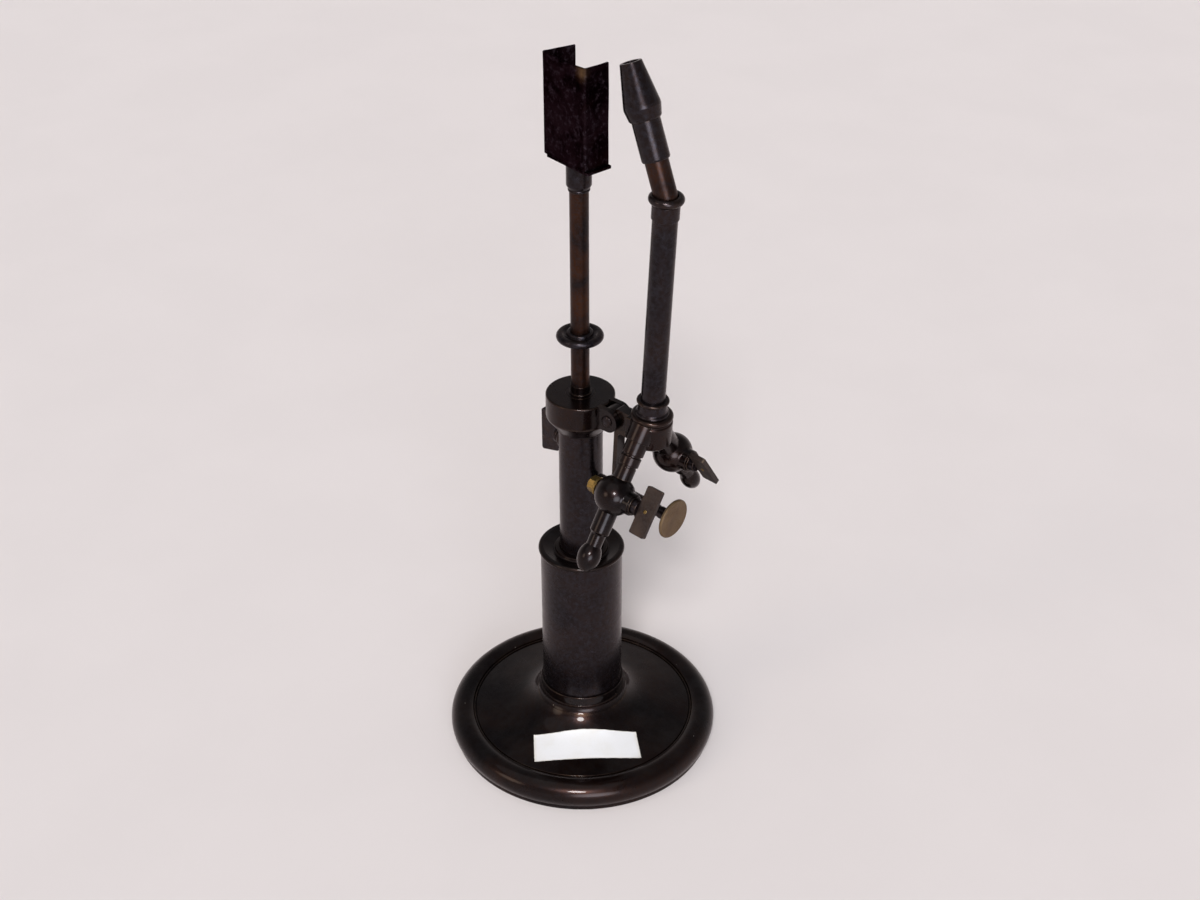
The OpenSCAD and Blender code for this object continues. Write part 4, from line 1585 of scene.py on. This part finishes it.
tiltSizes = {
    "tip": 14.1,
    "tipRadius": 1.6,
    "radius": 3.25,
    "pitch": 1.25,
    "depth": 0.55,
    "threadEnd": 54.0,
    "undercut": 0.25,
    "neckRadius": 4.6,
    "headX": 63.4,
    "headRadius": 10.6,
    "headThick": 2.0,
}


def makeTiltScrew(sizes):
    tip = sizes["tip"]
    radius = sizes["radius"]
    threadEnd = sizes["threadEnd"]
    undercut = radius - sizes["undercut"]
    head = sizes["headX"]

    def cutThread(spot):
        reach = math.hypot(spot.x, spot.y)
        if reach < radius - 0.05 or spot.z < tip + 1 or spot.z > threadEnd:
            return spot
        turn = math.atan2(spot.y, spot.x) / (2 * math.pi)
        phase = (spot.z / sizes["pitch"] - turn) % 1
        deep = min(1, max(0, 1.5 - abs(phase - 0.5) * 5))
        ease = min(1, (spot.z - tip - 1) / 2, (threadEnd - spot.z) / 1.5)
        scale = 1 - sizes["depth"] * deep * ease / reach
        return Vector((spot.x * scale, spot.y * scale, spot.z))

    corners = [(0, tip), (sizes["tipRadius"], tip, 0.5), (radius, tip + 1, 0.3)]
    corners += [(radius, threadEnd + 0.5, 0.1), (undercut, threadEnd + 0.8)]
    corners += [(undercut, threadEnd + 2.2), (radius, threadEnd + 2.5, 0.1)]
    corners += [(radius, head - 1.2, 0.8), (sizes["neckRadius"], head + 0.1), (0, head + 0.1)]
    cut = {"closed": False, "steps": 40, "longest": 0.16, "shape": cutThread}
    return lathed("tiltScrew", "tilt_screw", corners, screwAxis, **cut)


def makeTiltHead(sizes):
    low = sizes["headX"]
    high = low + sizes["headThick"]
    radius = sizes["headRadius"]
    corners = [(0, low), (radius - 0.5, low, 0.3), (radius, low + 0.5, 0.4), (radius, high - 0.5, 0.4)]
    corners += [(radius - 0.6, high, 0.3), (radius - 1.1, high - 0.12, 0.2), (0, high - 0.12)]
    return lathed("tiltHead", "tilt_screw_head", corners, screwAxis, closed=False, steps=128, longest=2)


makeTiltScrew(tiltSizes)
makeTiltHead(tiltSizes)
print("burner made")

# Elbow and nozzle, which swivel in the tube's socket

elbowSizes = {
    "bend": 23.25,
    "bendRadius": 9.0,
    "bendSteps": 12,
    "runSteps": 8,
    "tubeRadius": 5.65,
    "boreRadius": 3.3,
    "tubeInSleeve": 11.5,
    "seatInSleeve": 12.0,
    "sleeveFrom": 18.5,
    "sleeveTo": 37.8,
    "sleeveRadius": 6.75,
    "ringBore": 5.72,
    "ringRadius": 8.55,
    "ringHalf": 2.1,
    "tipTo": 43.8,
    "reach": 63.9,
    "mouthBore": 3.5,
    "jetBore": 0.8,
    "jetDrop": 1.5,
    "jetLow": 9.0,
}
nozzleAxis = leaning @ Matrix.Translation(bendSpot) @ turnedBy(-elbowSizes["bend"], "Y")


# The tube's centre line, straight up the spigot, round the bend, then along the nozzle
def makeElbowTube(sizes):
    bend = math.radians(sizes["bend"])
    reach = sizes["bendRadius"] * math.tan(bend / 2)
    stations = [(Vector((0, 0, tubeSizes["spigotLow"] - bendSpot.z)), 0)]
    for k in range(sizes["bendSteps"] + 1):
        angle = bend * k / sizes["bendSteps"]
        side = -sizes["bendRadius"] * (1 - math.cos(angle))
        stations.append((Vector((side, 0, sizes["bendRadius"] * math.sin(angle) - reach)), angle))
    run = sizes["sleeveFrom"] + sizes["tubeInSleeve"] - reach
    start = stations[-1][0]
    direction = Vector((-math.sin(bend), 0, math.cos(bend)))
    for k in range(1, sizes["runSteps"] + 1):
        stations.append((start + direction * run * k / sizes["runSteps"], bend))
    place = leaning @ Matrix.Translation(bendSpot)
    steps = 64
    vertices = []
    for inner in (False, True):
        for spot, angle in stations:
            radius = sizes["boreRadius"] if inner else sizes["tubeRadius"]
            if angle == 0 and not inner:
                radius = tubeSizes["spigotRadius"]
            for k in range(steps):
                turn = 2 * math.pi * k / steps
                local = Vector((radius * math.cos(turn), radius * math.sin(turn), 0))
                vertices.append(place @ (spot + Matrix.Rotation(-angle, 3, "Y") @ local))
    shell = len(stations) * steps
    last = shell - steps
    faces = skinBetween(len(stations), steps)
    faces += skinBetween(len(stations), steps, first=shell, inward=True)
    for k in range(steps):
        after = (k + 1) % steps
        faces.append((k, shell + k, shell + after, after))
        faces.append((last + k, last + after, shell + last + after, shell + last + k))
    return dress(newPiece("elbowTube", vertices, faces), nozzleAxis, "elbow_tube")


makeElbowTube(elbowSizes)


def makeElbowRing(sizes):
    bore = sizes["ringBore"]
    half = sizes["ringHalf"]
    low = tubeSizes["socketHigh"] + 0.3
    corners = [(bore, low + 0.2, 0.2)]
    corners += arc(sizes["ringRadius"] - half, low + half, half, -80, 80, 12)
    corners += [(bore, low + 2 * half - 0.1, 0.3)]
    return lathed("elbowRing", "elbow_ring", corners, tubeAxis)


def makeSleeve(sizes):
    radius = sizes["sleeveRadius"]
    tube = sizes["tubeRadius"] + seatedFit
    mouth = sizes["mouthBore"]
    start = sizes["sleeveFrom"]
    seat = start + sizes["seatInSleeve"]
    end = sizes["sleeveTo"] - 0.3
    corners = [(tube, start, 0.1), (radius - 0.3, start, 0.3), (radius, start + 0.8, 0.4), (radius, end)]
    corners += [(mouth, end), (mouth, seat), (tube, seat)]
    return lathed("nozzleSleeve", "nozzle_sleeve", corners, nozzleAxis, steps=72, longest=4)


def makeNozzle(sizes):
    bore = sizes["mouthBore"]
    sleeve = sizes["sleeveTo"]
    wide = sizes["tipTo"]
    end = sizes["reach"]
    corners = [(bore, sleeve - 0.28), (7.3, sleeve - 0.28, 0.3), (7.75, sleeve + 0.5, 0.4)]
    corners += [(8.75, wide - 0.5, 0.9), (8.65, wide + 0.9, 0.9), (5.15, end, 0.4), (bore, end, 0.25)]
    return lathed("nozzleTip", "nozzle_tip", corners, nozzleAxis, longest=4)


def makeJet(sizes):
    bore = sizes["jetBore"]
    radius = sizes["mouthBore"]
    low = sizes["reach"] - sizes["jetLow"]
    top = sizes["reach"] - sizes["jetDrop"]
    corners = [(bore, low), (radius, low), (radius, top - 0.1, 0.2), (1.2, top, 0.3), (bore, top - 0.4)]
    return lathed("jetNipple", "jet_nipple", corners, nozzleAxis, steps=48)


makeElbowRing(elbowSizes)
makeSleeve(elbowSizes)
makeNozzle(elbowSizes)
makeJet(elbowSizes)
print("elbow made")

# Floor, lights and background

roomSettings = {
    "floorRadius": 6.0,
    "floorDrop": 0.2,
    "floorColour": shade(0.84, 0.775, 0.765),
    "floorDarker": 0.985,
    "floorGrain": 9,
    "ceilingColour": shade(0.20, 0.20, 0.21),
    "ceilingRise": (0.05, 0.6),
    "wallColour": shade(0.60, 0.575, 0.565),
    "flashStrength": 2.0,
    "flashAngle": 12.0,
    "flashFrom": (-0.06, -0.73, 0.68),
    "bounceStrength": 0.36,
    "bounceAngle": 65.0,
    "bounceFrom": (-0.25, -0.30, 1.0),
    "window": {
        "from": (-0.84, -0.48, 0.42),
        "inner": 6.0,
        "outer": 13.0,
        "strength": 3.4,
        "colour": (1.0, 0.85, 0.70),
    },
    "lamp": {
        "from": (0.16, -1.0, 0.20),
        "inner": 6.0,
        "outer": 20.0,
        "strength": 8.5,
        "colour": (0.84, 0.91, 1.0),
    },
}


def makeFloor(settings):
    bm = bmesh.new()
    bmesh.ops.create_circle(bm, cap_ends=True, radius=settings["floorRadius"], segments=96)
    floor = meshed("paleFloor", bm)
    floor.location.z = -settings["floorDrop"] * mm
    material, tree, shader, spot = newMaterial("paleFloor")
    grain = noiseOf(tree, spot, settings["floorGrain"], detail=3, rough=0.5)
    pale = settings["floorColour"]
    darker = shade(*[c * settings["floorDarker"] for c in pale[:3]])
    tint = mixed(tree, ranged(tree, grain, 0.4, 0.6), pale, darker)
    tree.links.new(tint, shader.inputs["Base Color"])
    shader.inputs["Roughness"].default_value = 0.9
    shader.inputs["Specular IOR Level"].default_value = 0.1
    floor.data.materials.append(material)
    return floor


aroundCamera = turnedBy(cameraSettings["turn"], "Z")


# A soft patch of light in the room, whole up to its inner angle and gone at its outer one
def patchOfLight(tree, direction, patch):
    toward = addNode(tree, "VectorMath", operation="DOT_PRODUCT")
    tree.links.new(direction, toward.inputs[0])
    toward.inputs[1].default_value = (aroundCamera @ Vector(patch["from"])).normalized()
    gone, whole = (math.cos(math.radians(patch[angle])) for angle in ("outer", "inner"))
    return ranged(tree, toward.outputs["Value"], gone, whole)


# A plain room: pale walls, a dimmer ceiling that the foot and the caps mirror, a warm window at the left,
# and a cool lamp in front that draws the long streaks on the nozzle and the elbow. The metal mirrors both
# patches of light, and the camera itself sees the plain room without them.
def makeWorld(settings):
    world = bpy.data.worlds.new("softRoom")
    bpy.context.scene.world = world
    world.use_nodes = True
    tree = world.node_tree
    direction = addNode(tree, "TexCoord").outputs["Generated"]
    parts = addNode(tree, "SeparateXYZ")
    tree.links.new(direction, parts.inputs["Vector"])
    upward = ranged(tree, parts.outputs["Z"], *settings["ceilingRise"])
    plain = mixed(tree, upward, settings["wallColour"], settings["ceilingColour"])
    colour = plain
    for patch in (settings["window"], settings["lamp"]):
        share = patchOfLight(tree, direction, patch)
        bright = shade(*[c * patch["strength"] for c in patch["colour"]])
        colour = mixed(tree, share, colour, bright)
    seen = addNode(tree, "LightPath").outputs["Is Camera Ray"]
    tree.links.new(mixed(tree, seen, colour, plain), tree.nodes["Background"].inputs["Color"])
    return world


# A flash beside the camera, and its bounce off the ceiling
def makeLights(settings):
    for name in ("flash", "bounce"):
        data = bpy.data.lights.new(name + "Light", "SUN")
        lamp = placed(name + "Light", data)
        direction = aroundCamera @ Vector(settings[name + "From"])
        lamp.rotation_euler = direction.to_track_quat("Z", "Y").to_euler()
        data.energy = settings[name + "Strength"]
        data.angle = math.radians(settings[name + "Angle"])


makeFloor(roomSettings)
makeWorld(roomSettings)
makeLights(roomSettings)
print("room made")
